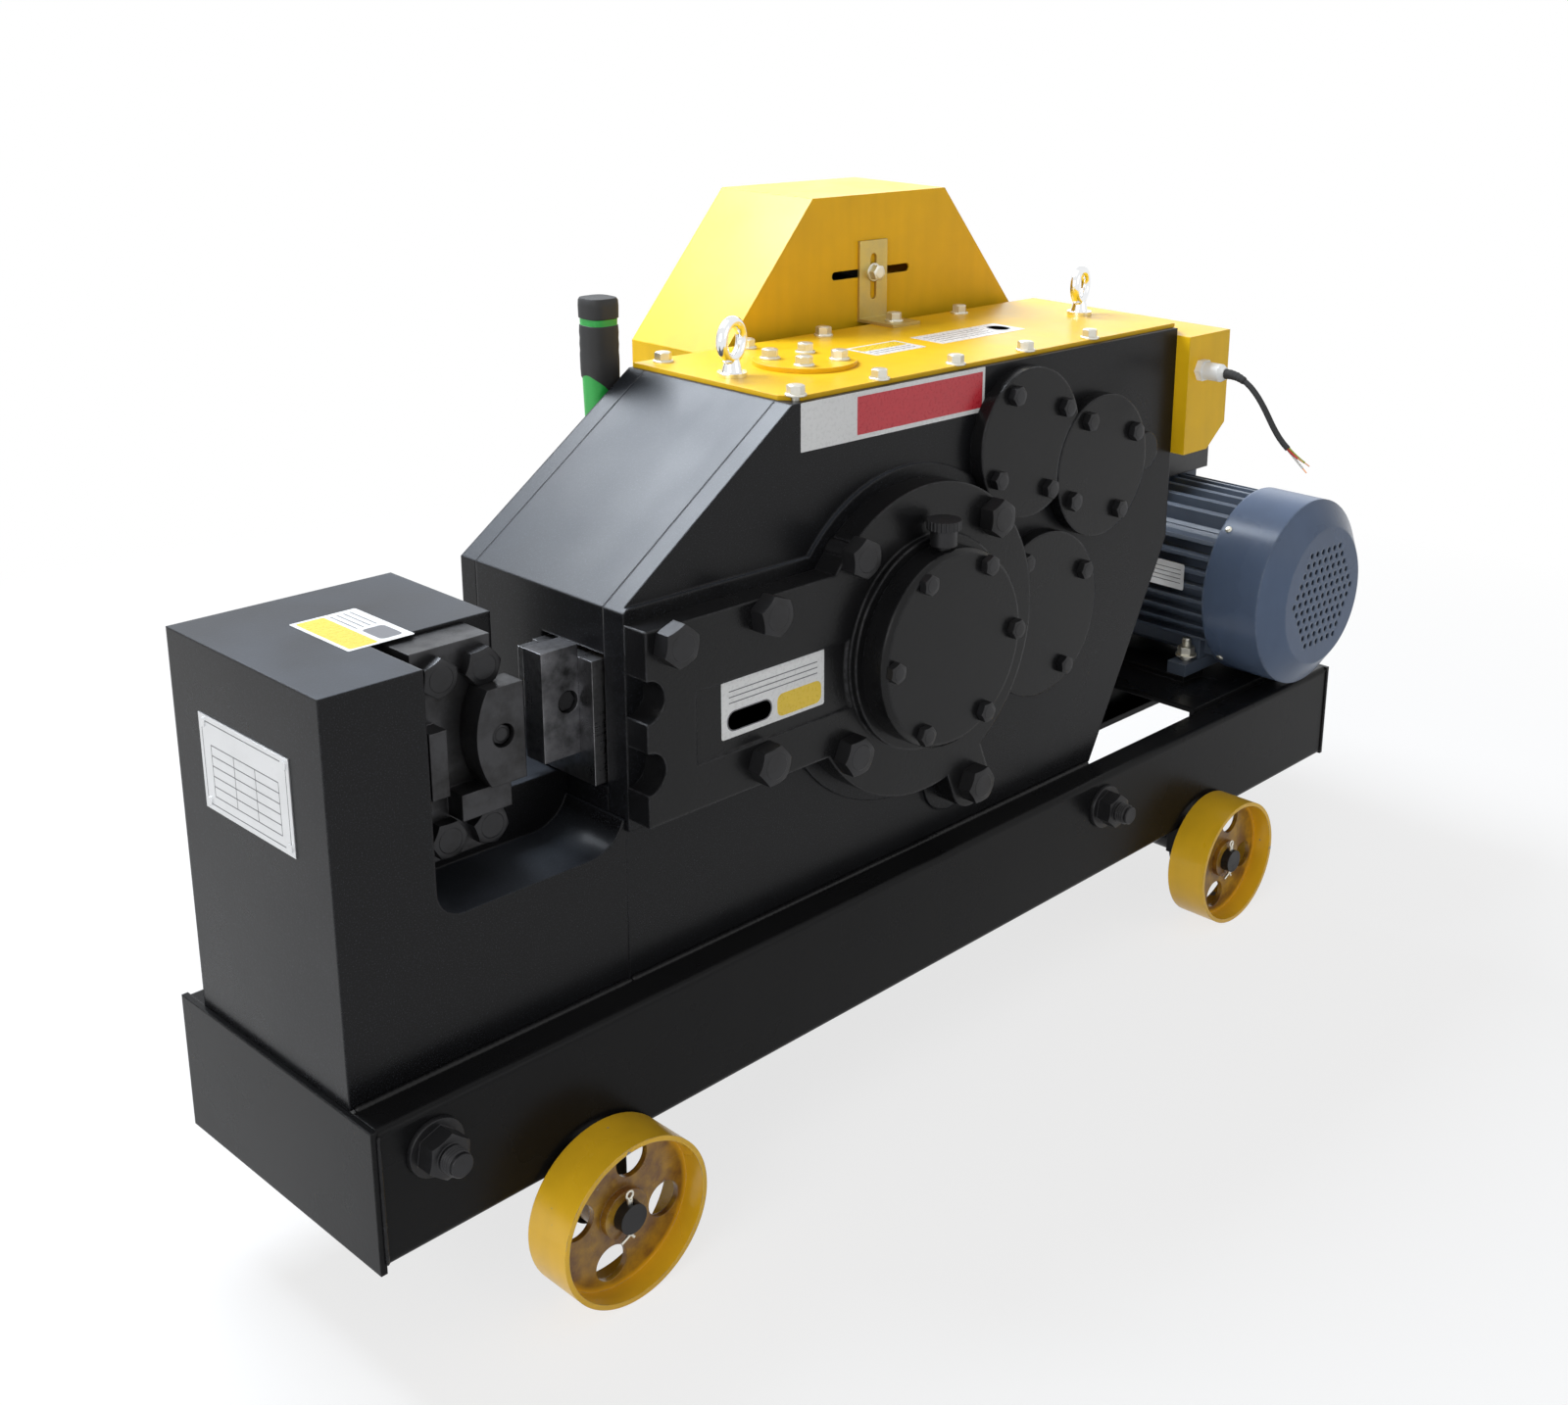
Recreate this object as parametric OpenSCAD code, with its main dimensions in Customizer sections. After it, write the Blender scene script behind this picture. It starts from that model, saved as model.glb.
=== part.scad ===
// Electric bar cutting machine: a geared crank drives a ram with a moving blade past a fixed
// blade.  It stands on four steel wheels.  +X runs from the cutting post to the motor, the
// covers face -Y, and the origin is on the floor under the middle of the machine.

/* [Base skid] */
// Length of the two base channels
base_l = 1250; // [1200:10:1500]
// Width over the two channels
base_w = 260; // [250:5:320]
// Height of the channels
base_h = 108; // [90:2:130]
// Width of the channel flanges
flange_w = 30; // [25:1:40]
// Wall of the channels
channel_t = 8; // [6:1:10]
// Diameter of the two tie rods
tie_d = 20; // [16:2:24]

/* [Wheels] */
// Diameter of the four wheels
wheel_d = 134; // [112:2:160]
// Width of the wheel rims
wheel_w = 44; // [36:1:50]
// Diameter of the two axles
axle_d = 24; // [20:1:28]
// Distance from the left end of the base to the front pair's axle
wheel_x1 = 183; // [160:5:220]
// Distance between the two axles
wheelbase = 816; // [700:10:950]
// Depth of the axles below the channels
axle_drop = 37; // [32:1:45]

/* [Body] */
// Width of the machine body
body_w = 200; // [200:5:240]
// Length of the cutting post
post_l = 178; // [170:2:214]
// Height of the cutting post above the base
post_h = 300; // [290:5:360]
// Gap between the post and the gearbox, where the bars lie
throat_w = 63; // [55:1:76]
// Length of the gearbox
box_l = 700; // [690:5:840]
// Height of the gearbox above the base
box_h = 430; // [425:5:515]
// Thickness of the front and rear walls
wall_t = 20; // [16:1:24]
// Thickness of the plates that join the two walls
shell_t = 14; // [10:1:17]

/* [Cutter] */
// Depth of the blade pocket in the front of the post
pocket_y = 70; // [64:1:84]
// Height of the pocket's floor above the base
pocket_z = 113; // [95:1:125]
// Thickness of both blades
blade_t = 22; // [18:1:24]
// Gap between the two blades' shear faces
shear_gap = 0.6; // [0.4:0.1:1]
// Width of the ram
ram_w = 72; // [66:1:80]
// Height of the ram
ram_h = 100; // [96:1:110]
// Radius of the crank's throw, half of the blade's stroke
crank_throw = 17; // [14:1:18]

/* [Gears] */
// Height of the crankshaft above the base
crank_h = 209; // [205:1:225]
// Module of the slow pair on the crankshaft
slow_m = 5; // [4.5:0.1:5.5]
// Module of the middle pair
mid_m = 4; // [3.6:0.1:4.4]
// Module of the fast pair
fast_m = 3; // [2.7:0.1:3.3]
// Backlash of each gear pair
backlash = 0.5; // [0.4:0.1:1]

/* [Belt drive] */
// Outer diameter of the flywheel
flywheel_d = 310; // [270:5:330]
// Outer diameter of the motor pulley
pulley_d = 144; // [120:2:160]
// Number of belts
belt_n = 3; // [2:1:3]
// Depth of the belt guard behind the body
guard_d = 142; // [138:1:170]

/* [Motor] */
// Height of the motor's shaft above its feet
motor_h = 100; // [98:1:120]
// Diameter of the motor's fan cover
fan_cover_d = 211; // [190:1:220]
// Distance from the end of the base to the motor's shaft
motor_inset = 78; // [60:1:100]
// Thickness of the plate under the motor
motor_plate_t = 6; // [5:1:8]

/* [Covers and switch box] */
// Thickness of the cast cover in front of the crank
side_cover_t = 25; // [20:1:30]
// Diameter of the round crank cover
crank_cover_d = 175; // [160:1:180]
// Thickness of the round bearing covers
cap_t = 14; // [10:1:17]
// Thickness of the steel top plate
top_t = 4; // [3:0.5:6]
// Length of the switch box along the machine
switch_l = 71; // [60:1:85]
// Height of the switch box
switch_h = 120; // [100:1:140]

/* [Hidden] */
$fn = 64;

// Clearances: a fit inside one body, a turning or sliding fit, and a bolt in its hole
fit = 0.05;
run = 0.08;
hole_gap = 0.3;

// Frame sizes that follow from the driving sizes
floor_drop = axle_drop + wheel_d / 2;
base_x1 = base_l;
end_plate_t = 5;
body_y0 = (base_w - body_w) / 2 + 4;
body_y1 = body_y0 + body_w;
body_mid = (body_y0 + body_y1) / 2;
post_x0 = end_plate_t;
post_x1 = post_x0 + post_l;
post_top = base_h + post_h;
box_x0 = post_x1 + throat_w;
box_x1 = box_x0 + box_l;
box_top = base_h + box_h;
in_y0 = body_y0 + wall_t;
in_y1 = body_y1 - wall_t;

// The gearbox's outline in X and Z: a sloped cover at its left and a cut-back tail at its right
slope_run = 174;
slope_rise = 130;
tail_run = 114;
tail_h = 214;
box_outline = [[box_x0, base_h], [box_x1 - tail_run, base_h], [box_x1, base_h + tail_h],
    [box_x1, box_top], [box_x0 + slope_run, box_top], [box_x0, box_top - slope_rise]];

// Crankshaft and con rod
crank_x = box_x0 + 306;
crank_z = base_h + crank_h;
journal_r = 32;
throw_r = 45;
rear_journal_r = 36;
rod_t = 36;
rod_bush_t = 5;
rod_ring_r = throw_r + rod_bush_t + 13;
rod_l = 170;
rod_end_r = 20;
wrist_r = 10;
stroke = 2 * crank_throw;
small_end_x = crank_x + crank_throw - rod_l;

// Ram
ram_y0 = in_y0 + 2;
ram_y1 = ram_y0 + ram_w;
ram_mid = (ram_y0 + ram_y1) / 2;
ram_x0 = box_x0 - 10;
ram_x1 = crank_x - 122;
ram_z0 = crank_z - ram_h / 2;
ram_z1 = crank_z + ram_h / 2;
rod_pocket_h = 2 * (rod_end_r + crank_throw + 1.5);
liner_t = 4;
bed_x0 = box_x0 + shell_t;
bed_x1 = crank_x - 96;

// Gear layers across the machine, and tooth counts of each pair: pinion, then gear
fast_y0 = ram_mid - rod_t / 2 - 4;
fast_w = 26;
mid_y0 = ram_mid + rod_t / 2 + 6;
mid_w = 30;
slow_w = 50;
slow_y0 = in_y1 - 10 - slow_w;
slow_n = [15, 57];
mid_n = [20, 57];
fast_n = [26, 52];
slow_dir = -7.5;
mid_dir = 57.4;
fast_dir = 159.9;
function along(p, a, d) = [p[0] + d * cos(a), p[1] + d * sin(a)];
crank_p = [crank_x, crank_z];
shaft3_p = along(crank_p, slow_dir, slow_m * (slow_n[0] + slow_n[1]) / 2);
shaft2_p = along(shaft3_p, mid_dir, mid_m * (mid_n[0] + mid_n[1]) / 2);
shaft1_p = along(shaft2_p, fast_dir, fast_m * (fast_n[0] + fast_n[1]) / 2);
shaft1_r = 17.5;
shaft2_r = 17.5;
shaft3_r = 20;
bearing_w = 18;
bearing_r = [36, 36, 40, 48];
cap_r = [69, 69, 80];
cap_bolt_r = [54, 54, 66];
cap_bolt_turn = 29;
rear_cap_r = [52, 52, 56, 66];

// Cast side cover and the round crank cover
pad_t = 4;
cover_y1 = body_y0 - pad_t;
cover_y0 = cover_y1 - side_cover_t;
cover_r = 139;
boss_t = 7;
boss_r = crank_cover_d / 2 + 8;
crank_cover_t = 25;
crank_cover_y0 = cover_y0 - boss_t - crank_cover_t;
crank_bolt_r = crank_cover_d / 2 - 10.5;
service_r = 92;
wing_z0 = crank_z - 72;
wing_z1 = crank_z + 83;
lobe_p = [crank_x + 62, crank_z - 151];
lobe_r = 24;
cover_bolt_p = [[-283, 70], [-188, 70], [-90, 95], [80, 95], [-191, -53], [-96, -75], [62, -151]];
m20_r = 10;
m20_head = 15;

// Blade pocket, holder and blades
pocket_x0 = post_x0 + 77;
pocket_y1 = body_y0 + pocket_y;
pocket_z0 = base_h + pocket_z;
rear_throat_z = pocket_z0 + 44;
shear_y = body_y0 + 38;
holder_y0 = shear_y;
holder_x0 = pocket_x0 + 13;
holder_w = 65;
holder_z0 = crank_z - 72;
holder_z1 = crank_z + 88;
fixed_x1 = post_x1 - 12;
fixed_w = 40;
fixed_z0 = crank_z - 19;
fixed_h = 74;
moving_x0 = fixed_x1 + stroke - 2;
moving_z0 = crank_z - 27;
moving_h = 87;
nose_x0 = post_x1 + stroke + 2;
nose_d = 29;
m16_r = 8;
m16_head = 10;
m10_r = 5;
sink_r = 9;
sink_d = 10;

// Belt drive behind the body
guard_y0 = body_y1 + 16;
guard_y1 = body_y1 + guard_d;
guard_t = 2;
rail_t = 6;
motor_p = [base_x1 - motor_inset, base_h + motor_plate_t + rail_t + motor_h];
belt_w = 13;
belt_pitch = 15;
sheave_w = belt_pitch * belt_n + 6;
sheave_y0 = guard_y1 - 20 - sheave_w;
groove_d = 10;
belt_run = norm(motor_p - shaft1_p);
belt_dir = atan2(motor_p[1] - shaft1_p[1], motor_p[0] - shaft1_p[0]);
belt_lean = asin((flywheel_d - pulley_d) / 2 / belt_run);

// Motor: a foot-mounted frame whose shaft points to the rear
motor_end = sheave_y0 - 6;
motor_frame_r = 88;
fin_r = 100;
frame_l = 213;
shield_t = 20;
fan_shield_t = 14;
frame_y0 = motor_end - shield_t - frame_l;
motor_shaft_r = 14;
foot_span = 160;
foot_pitch = 140;
fan_cover_y0 = frame_y0 - 73;
fan_face_y = fan_cover_y0 - 20;

// Switch box on the gearbox's right end
switch_x0 = box_x1;
switch_x1 = switch_x0 + switch_l;
switch_y0 = body_y0 - 16;
switch_y1 = guard_y0 - 4;
switch_z1 = box_top - 7;
switch_z0 = switch_z1 - switch_h;
gland_x = switch_x0 + 21;
gland_z = switch_z1 - 35;
cable_d = 6;

// Route of the power cable, from the gland out and down
cable_route = [[967, -12, 496], [967, -18.3, 496.3], [967, -24.7, 495.5], [967, -30.9, 493.6],
    [967.2, -36.6, 490.7], [967.4, -41.9, 487], [967.6, -46.7, 482.6], [967.9, -51, 477.9],
    [968.2, -55, 472.8], [968.6, -58.7, 467.5], [969, -62.2, 462], [969.4, -65.6, 456.5],
    [969.9, -69, 451.1], [970.4, -72.7, 445.8], [970.9, -76.7, 440.8], [971.5, -81.2, 436.1],
    [972, -86, 432]];

// Gap between a wheel and its channel
wheel_in = 4;

// Middle of the whole machine, from the left end plate to the fan cover and from the front
// wheels to the belt guard
mid_x = max(base_x1, motor_p[0] + fan_cover_d / 2) / 2;
mid_y = (guard_y1 - wheel_in - wheel_w) / 2;

// ---------- Shared shapes ----------

module place() {
    translate([-mid_x, -mid_y, floor_drop]) children();
}

// A round bar along Y
module bar_y(p, r, y0, y1, sides = 64) {
    translate([p[0], y0, p[1]]) rotate([-90, 0, 0]) cylinder(r = r, h = y1 - y0, $fn = sides);
}

// A ring along Y
module ring_y(p, r_out, r_in, y0, y1) {
    difference() {
        bar_y(p, r_out, y0, y1);
        bar_y(p, r_in, y0 - 1, y1 + 1);
    }
}

// A flat plate in X and Z, from y0 to y1
module plate_y(y0, y1) {
    translate([0, y1, 0]) rotate([90, 0, 0]) linear_extrude(y1 - y0) children();
}

// A hexagon bar along Y, given across its flats
module hex_y(p, flats, y0, y1) {
    bar_y(p, flats / sqrt(3), y0, y1, 6);
}

// A box between two corners
module block(low, high) {
    translate(low) cube(high - low);
}

// The corner b of an outline a, b, c moved inwards by t
function unit(v) = v / norm(v);
function inward(p, q) = let (d = unit(q - p)) [-d[1], d[0]];
function inner_corner(a, b, c, t) =
    let (n1 = inward(a, b), n2 = inward(b, c)) b + t * (n1 + n2) / (1 + n1 * n2);
function inset(pts, t) = let (n = len(pts))
    [for (i = [0 : n - 1]) inner_corner(pts[(i + n - 1) % n], pts[i], pts[(i + 1) % n], t)];

// Places round a circle in X and Z
function round_about(p, r, n, turn) = [for (i = [0 : n - 1]) along(p, turn + i * 360 / n, r)];

// Involute gear: half the tooth's angle at radius r, then the outline tooth by tooth
pressure = 20;
function inv(a) = tan(a) * 180 / PI - a;
function half_tooth(r, n, m) =
    let (base_r = n * m / 2 * cos(pressure))
    90 / n - backlash / 2 / (n * m / 2) * 180 / PI + inv(pressure)
    - (r > base_r ? inv(acos(base_r / r)) : 0);
function gear_outline(n, m, turn) =
    let (pitch_r = n * m / 2, base_r = pitch_r * cos(pressure),
         root_r = pitch_r - 1.2 * m, tip_r = pitch_r + 0.9 * m,
         steps = [root_r, max(base_r, root_r + 0.3 * m), pitch_r, tip_r])
    [for (i = [0 : n - 1], side = [-1, 1], k = [0 : 3])
        let (r = steps[side < 0 ? k : 3 - k], a = turn + i * 360 / n + side * half_tooth(r, n, m))
        [r * cos(a), r * sin(a)]];

// A gear at p, turned so that a tooth lies at the angle given
module gear_y(p, n, m, turn, y0, y1) {
    translate([p[0], 0, p[1]]) plate_y(y0, y1) polygon(gear_outline(n, m, turn));
}

// A wheel gear with a bore, a web thinner than its rim and a hub
module wheel_gear(p, n, m, turn, y0, y1, bore_r, hub_r) {
    recess = (y1 - y0) / 4;
    rim_r = n * m / 2 - 3 * m;
    difference() {
        gear_y(p, n, m, turn, y0, y1);
        bar_y(p, bore_r, y0 - 1, y1 + 1);
        ring_y(p, rim_r, hub_r, y0 - 1, y0 + recess);
        ring_y(p, rim_r, hub_r, y1 - recess, y1 + 1);
    }
}

// A hexagon bolt along Y whose head's seat is at y, with its shank running to +Y
module bolt_y(p, flats, head, y, shank_r, shank_l) {
    hex_y(p, flats, y - head, y);
    bar_y(p, shank_r, y - 0.01, y + shank_l, 24);
}

// ---------- Base skid and wheels ----------

// One channel with its web's outer face at y = 0 and its flanges to +Y
module channel() {
    r = 6;
    rotate([90, 0, 90]) linear_extrude(base_l - 2 * end_plate_t) difference() {
        union() {
            translate([0, r]) square([flange_w, base_h - 2 * r]);
            translate([r, 0]) square([flange_w - r, base_h]);
            translate([r, r]) circle(r, $fn = 32);
            translate([r, base_h - r]) circle(r, $fn = 32);
        }
        translate([channel_t, channel_t]) square([flange_w, base_h - 2 * channel_t]);
    }
}

tie_x = [end_plate_t + 42, box_x1 - tail_run - 18];
tie_z = base_h - 32;

module base_channels() color("#1c1c1e") place() difference() {
    union() {
        translate([end_plate_t, 0, 0]) channel();
        translate([end_plate_t, base_w, 0]) mirror([0, 1, 0]) channel();
    }
    for (x = tie_x) bar_y([x, tie_z], tie_d / 2 + hole_gap, -1, base_w + 1);
}

axle_x = [wheel_x1, wheel_x1 + wheelbase];
member_x = [post_x0 + 60, box_x0 + 60, box_x1 - tail_run - 80];
bearer_x = [motor_p[0] - 60, motor_p[0] + 20];
bearer_t = 8;
bearer_w = 40;

// End plates, flat bars across the base between the channels, two bearers laid flat under the
// motor plate, and the four axle brackets
module cross_plates() color("#1c1c1e") place() {
    block([0, 0, -4], [end_plate_t, base_w, base_h]);
    block([base_x1 - end_plate_t, 0, 0], [base_x1, base_w, base_h]);
    for (x = member_x)
        block([x, channel_t, channel_t], [x + 10, base_w - channel_t, base_h - channel_t]);
    for (x = bearer_x)
        block([x, channel_t, base_h - channel_t - bearer_t], [x + bearer_w, base_w - channel_t, base_h - channel_t]);
    for (x = axle_x, side = [0, 1])
        translate([0, side * base_w, 0]) mirror([0, side, 0]) difference() {
            union() {
                block([x - 30, 3, -axle_drop], [x + 30, 25, 0]);
                bar_y([x, -axle_drop], 24, 3, 25);
            }
            bar_y([x, -axle_drop], axle_d / 2 + fit, 0, 30);
        }
}

axle_out = 43;
pin_r = 2.5;
pin_y = axle_out - 3.5;

module axles() color("#2a2a2c") place() {
    for (x = axle_x) difference() {
        bar_y([x, -axle_drop], axle_d / 2, -axle_out, base_w + axle_out);
        for (y = [-pin_y, base_w + pin_y])
            translate([x, y, -axle_drop - 20]) cylinder(r = pin_r + fit, h = 40, $fn = 24);
    }
}

wheel_y1 = -wheel_in;
wheel_y0 = -wheel_in - wheel_w;
hub_y0 = wheel_y0 + 14;
web_n = 4;

// A pressed wheel: rim, web with round holes, and hub; its outer side faces -Y
module wheel() color("#e6a70a") {
    p = [0, 0];
    r = wheel_d / 2;
    rim_t = 4;
    hub_r = 20;
    web_y = wheel_y0 + 20;
    difference() {
        union() {
            ring_y(p, r, r - rim_t, wheel_y0, wheel_y1);
            bar_y(p, r - rim_t / 2, web_y, web_y + 5);
            bar_y(p, hub_r, hub_y0, wheel_y1 + 3);
        }
        bar_y(p, axle_d / 2 + run, wheel_y0 - 1, wheel_y1 + 9);
        for (q = round_about(p, (r - rim_t + hub_r) / 2, web_n, 75))
            bar_y(q, (r - rim_t - hub_r) / 2 - 7, web_y - 1, web_y + 9, 32);
    }
}

module wheel_at(x, side) {
    translate([x, side * base_w, -axle_drop]) mirror([0, side, 0]) wheel();
}

module wheel_front_left() place() wheel_at(axle_x[0], 0);
module wheel_front_right() place() wheel_at(axle_x[1], 0);
module wheel_rear_left() place() wheel_at(axle_x[0], 1);
module wheel_rear_right() place() wheel_at(axle_x[1], 1);

// A washer and a split pin at each axle end
module axle_washers() color("#b9bcc0") place() {
    y = hub_y0 - 0.3;
    for (x = axle_x, side = [0, 1])
        translate([x, side * base_w, -axle_drop]) mirror([0, side, 0]) {
            ring_y([0, 0], 18, axle_d / 2 + fit, y - 3, y);
            translate([0, -pin_y, -axle_d / 2 - 8]) cylinder(r = pin_r, h = axle_d + 16, $fn = 24);
        }
}

// The two rods across the base, with a nut and washer at each end
module tie_rods() color("#222224") place() {
    flats = tie_d * 1.5;
    for (x = tie_x) bar_y([x, tie_z], tie_d / 2, -34, base_w + 34);
    for (x = tie_x, side = [0, 1])
        translate([x, side * base_w, tie_z]) mirror([0, side, 0]) difference() {
            union() {
                bar_y([0, 0], tie_d * 1.1, -4, 0);
                hex_y([0, 0], flats, -20, -4);
            }
            bar_y([0, 0], tie_d / 2 + fit, -21, 1);
        }
}

// The motor's feet stand on the two rails of this plate
foot_x = [motor_p[0] - foot_span / 2, motor_p[0] + foot_span / 2];
foot_y1 = motor_end - 63;
foot_y = [foot_y1 - foot_pitch, foot_y1];
foot_z = base_h + motor_plate_t + rail_t;
foot_t = 14;
foot_half = 12;
plate_x0 = motor_p[0] - 157;
plate_y0 = flange_w + hole_gap;

module motor_plate() color("#161617") place() {
    difference() {
        union() {
            block([plate_x0, plate_y0, base_h + fit], [base_x1 - 4, base_w - 4, foot_z - rail_t]);
            block([plate_x0, plate_y0, base_h - channel_t + fit],
                [base_x1 - end_plate_t - fit, plate_y0 + 6, base_h + 1]);
            for (x = foot_x) block([x - 20, foot_y[0] - foot_half, base_h + 1],
                [x + 20, base_w - 4, foot_z]);
        }
        for (x = foot_x, y = foot_y) translate([x, y, base_h - 1]) cylinder(r = 6 + hole_gap, h = 30);
    }
}

// Every plate welded to the channels
module base_plates() {
    cross_plates();
    motor_plate();
}

// ---------- Body ----------

module cutter_post() color("#1d1d1f") place() {
    r = 22;
    fillet = 34;
    difference() {
        plate_y(body_y0, body_y1) difference() {
            polygon([[post_x0, base_h], [box_x0, base_h], [box_x0, rear_throat_z],
                [post_x1, rear_throat_z], [post_x1, post_top], [post_x0, post_top]]);
        }
        plate_y(body_y0 - 1, pocket_y1) {
            translate([pocket_x0 + r, pocket_z0]) square([box_x0 - pocket_x0 - r - fillet, post_top]);
            translate([pocket_x0, pocket_z0 + r]) square([box_x0 - pocket_x0 + 1, post_top]);
            translate([pocket_x0 + r, pocket_z0 + r]) circle(r);
            difference() {
                translate([box_x0 - fillet - 1, pocket_z0]) square([fillet + 2, fillet + 1]);
                translate([box_x0 - fillet, pocket_z0 - 1]) difference() {
                    square([fillet + 3, fillet + 1]);
                    translate([0, fillet + 1]) circle(fillet);
                }
            }
        }
        for (p = holder_bolt_p) bar_y(p, m16_r + hole_gap, pocket_y1 - 1, pocket_y1 + 31, 32);
        for (p = name_rivet_p) translate([post_x0 - 1, p[0], p[1]]) rotate([0, 90, 0])
            cylinder(r = rivet_r + fit, h = 7, $fn = 16);
    }
}

name_w = 120;
name_h = 72;
name_mid = [body_mid + 2, crank_z + 2];
rivet_r = 2;
name_rivet_p = [for (sy = [-1, 1], sz = [-1, 1])
    name_mid + [sy * (name_w / 2 - 6), sz * (name_h / 2 - 6)]];

// A blank plate on the post's left face, with a rivet in each corner
module name_plate() color("#c9ccd0") place() {
    difference() {
        translate([post_x0 - 1, name_mid[0] - name_w / 2, name_mid[1] - name_h / 2])
            cube([1, name_w, name_h]);
        for (p = name_rivet_p) translate([post_x0 - 2, p[0], p[1]]) rotate([0, 90, 0])
            cylinder(r = rivet_r + fit, h = 7, $fn = 16);
    }
    for (p = name_rivet_p) translate([0, p[0], p[1]]) rotate([0, 90, 0]) {
        translate([0, 0, post_x0 - 1]) cylinder(r = rivet_r, h = 6, $fn = 16);
        translate([0, 0, post_x0 - 2]) cylinder(r = rivet_r * 1.8, h = 1, $fn = 24);
    }
}

// Outline of the cast side cover, grown by g: a wing over the ram, a round part and a foot
module cover_outline(g = 0) {
    translate(crank_p) circle(cover_r + g, $fn = 96);
    translate([box_x0, wing_z0 - g]) square([crank_x - box_x0, wing_z1 - wing_z0 + 2 * g]);
    translate(lobe_p) circle(lobe_r + g);
    translate(crank_p) rotate(atan2(lobe_p[1] - crank_z, lobe_p[0] - crank_x))
        translate([0, 0.3 - lobe_r - g]) square([norm(lobe_p - crank_p), 2 * (lobe_r + g - 0.3)]);
}

// The service opening behind the side cover, shrunk by g
module service_outline(g = 0) {
    translate(crank_p) circle(service_r - g);
    translate([box_x0 + 38 + g, crank_z - 34 + g]) square([crank_x - box_x0 - 38, 68 - 2 * g]);
}

shaft_p = [shaft1_p, shaft2_p, shaft3_p, crank_p];
cap_bolt_l = cap_t + 12;
cover_bolt_l = side_cover_t + pad_t + 14;

// Places of a cap's bolts; the third cap has none behind the side cover
module cap_bolt_places(k, r) {
    for (q = round_about(shaft_p[k], r, 4, cap_bolt_turn))
        if (norm(q - crank_p) > cover_r) translate([q[0], 0, q[1]]) children();
}

module front_wall() color("#1d1d1f") place() difference() {
    union() {
        plate_y(body_y0, in_y0) polygon(box_outline);
        plate_y(cover_y1, body_y0) intersection() {
            cover_outline(11);
            polygon(box_outline);
        }
    }
    plate_y(cover_y1 - 1, in_y0 + 1) service_outline();
    for (k = [0 : 2]) {
        difference() {
            bar_y(shaft_p[k], cap_r[k] + 1, cover_y1 - 1, body_y0);
            bar_y(crank_p, cover_r, cover_y1 - 2, body_y0 + 1);
        }
        bar_y(shaft_p[k], bearing_r[k] + fit, body_y0 - 1, in_y0 + 1);
        cap_bolt_places(k, cap_bolt_r[k]) bar_y([0, 0], 5 + hole_gap, body_y0 - 1, body_y0 + 13, 24);
    }
    for (q = cover_bolt_p)
        bar_y(crank_p + q, m20_r + hole_gap, cover_y1 - 1, cover_y1 + pad_t + 15, 32);
    top_bolt_holes();
}

module rear_wall() color("#1d1d1f") place() difference() {
    plate_y(in_y1, body_y1) polygon(box_outline);
    for (k = [0 : 3]) bar_y(shaft_p[k], bearing_r[k] + fit, in_y1 - 1, body_y1 + 1);
    bar_y(lever_p, lever_shaft_r + run, in_y1 - 1, body_y1 + 1);
    top_bolt_holes();
}

// The plates between the two walls: floor, ram end, sloped cover and tail; the top stays open
module gearbox_shell() color("#1d1d1f") place() difference() {
    plate_y(in_y0, in_y1) difference() {
        polygon(box_outline);
        polygon(inset(box_outline, shell_t));
        translate([box_x0 + slope_run + 12, box_top - shell_t - 1])
            square([box_l - slope_run - shell_t - 12, shell_t + 2]);
    }
    block([box_x0 - 1, ram_y0 - 2, ram_z0 - liner_t], [box_x0 + shell_t + 1, ram_y1 + 2, ram_z1 + liner_t]);
}

// ---------- Cutter ----------

holder_bolt_p = [for (x = [holder_x0 + 18, holder_x0 + holder_w - 12],
    z = [holder_z0 + 18, holder_z1 - 20]) [x, z]];
fixed_bolt_p = [fixed_x1 - 18, fixed_z0 + fixed_h / 2];
moving_bolt_p = [nose_x0 + 7, moving_z0 + moving_h / 2];

// The block that carries the fixed blade, with a ledge under the blade and a stop beside it
module blade_holder() color("#2b2b2e") place() difference() {
    union() {
        block([holder_x0 + 2, holder_y0 - 16, fixed_z0 + 2],
            [holder_x0 + 16, holder_y0 + 1, fixed_z0 + 52]);
        block([holder_x0, holder_y0, holder_z0], [holder_x0 + holder_w, pocket_y1, holder_z1]);
        block([fixed_x1 - fixed_w - 12, holder_y0 - blade_t + 4, fixed_z0 - 20],
            [holder_x0 + holder_w, holder_y0 + 1, fixed_z0]);
    }
    for (p = holder_bolt_p) bar_y(p, m16_r + hole_gap, holder_y0 - 1, pocket_y1 + 1, 32);
    bar_y(fixed_bolt_p, m10_r + hole_gap, holder_y0 - 1, holder_y0 + 26, 32);
}

// The fixed blade: a plate with one straight cutting edge towards the ram
module fixed_blade() color("#55565a") place() difference() {
    plate_y(holder_y0 - blade_t, holder_y0) intersection() {
        translate([fixed_x1 - fixed_w, fixed_z0]) square([fixed_w, fixed_h]);
        translate([fixed_x1 - fixed_w + 70, fixed_z0 + fixed_h / 2]) circle(70, $fn = 96);
    }
    bar_y(fixed_bolt_p, m10_r + hole_gap, holder_y0 - blade_t - 1, holder_y0 + 1, 32);
    bar_y(fixed_bolt_p, sink_r, holder_y0 - blade_t - 1, holder_y0 - blade_t + sink_d, 32);
}

module moving_blade() color("#7a7c80") place() difference() {
    block([moving_x0, shear_y + shear_gap, moving_z0],
        [ram_x0, shear_y + shear_gap + blade_t, moving_z0 + moving_h]);
    bar_y(moving_bolt_p, m10_r + hole_gap, shear_y, shear_y + blade_t + 2, 32);
    bar_y(moving_bolt_p, sink_r, shear_y, shear_y + shear_gap + sink_d, 32);
}

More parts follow.
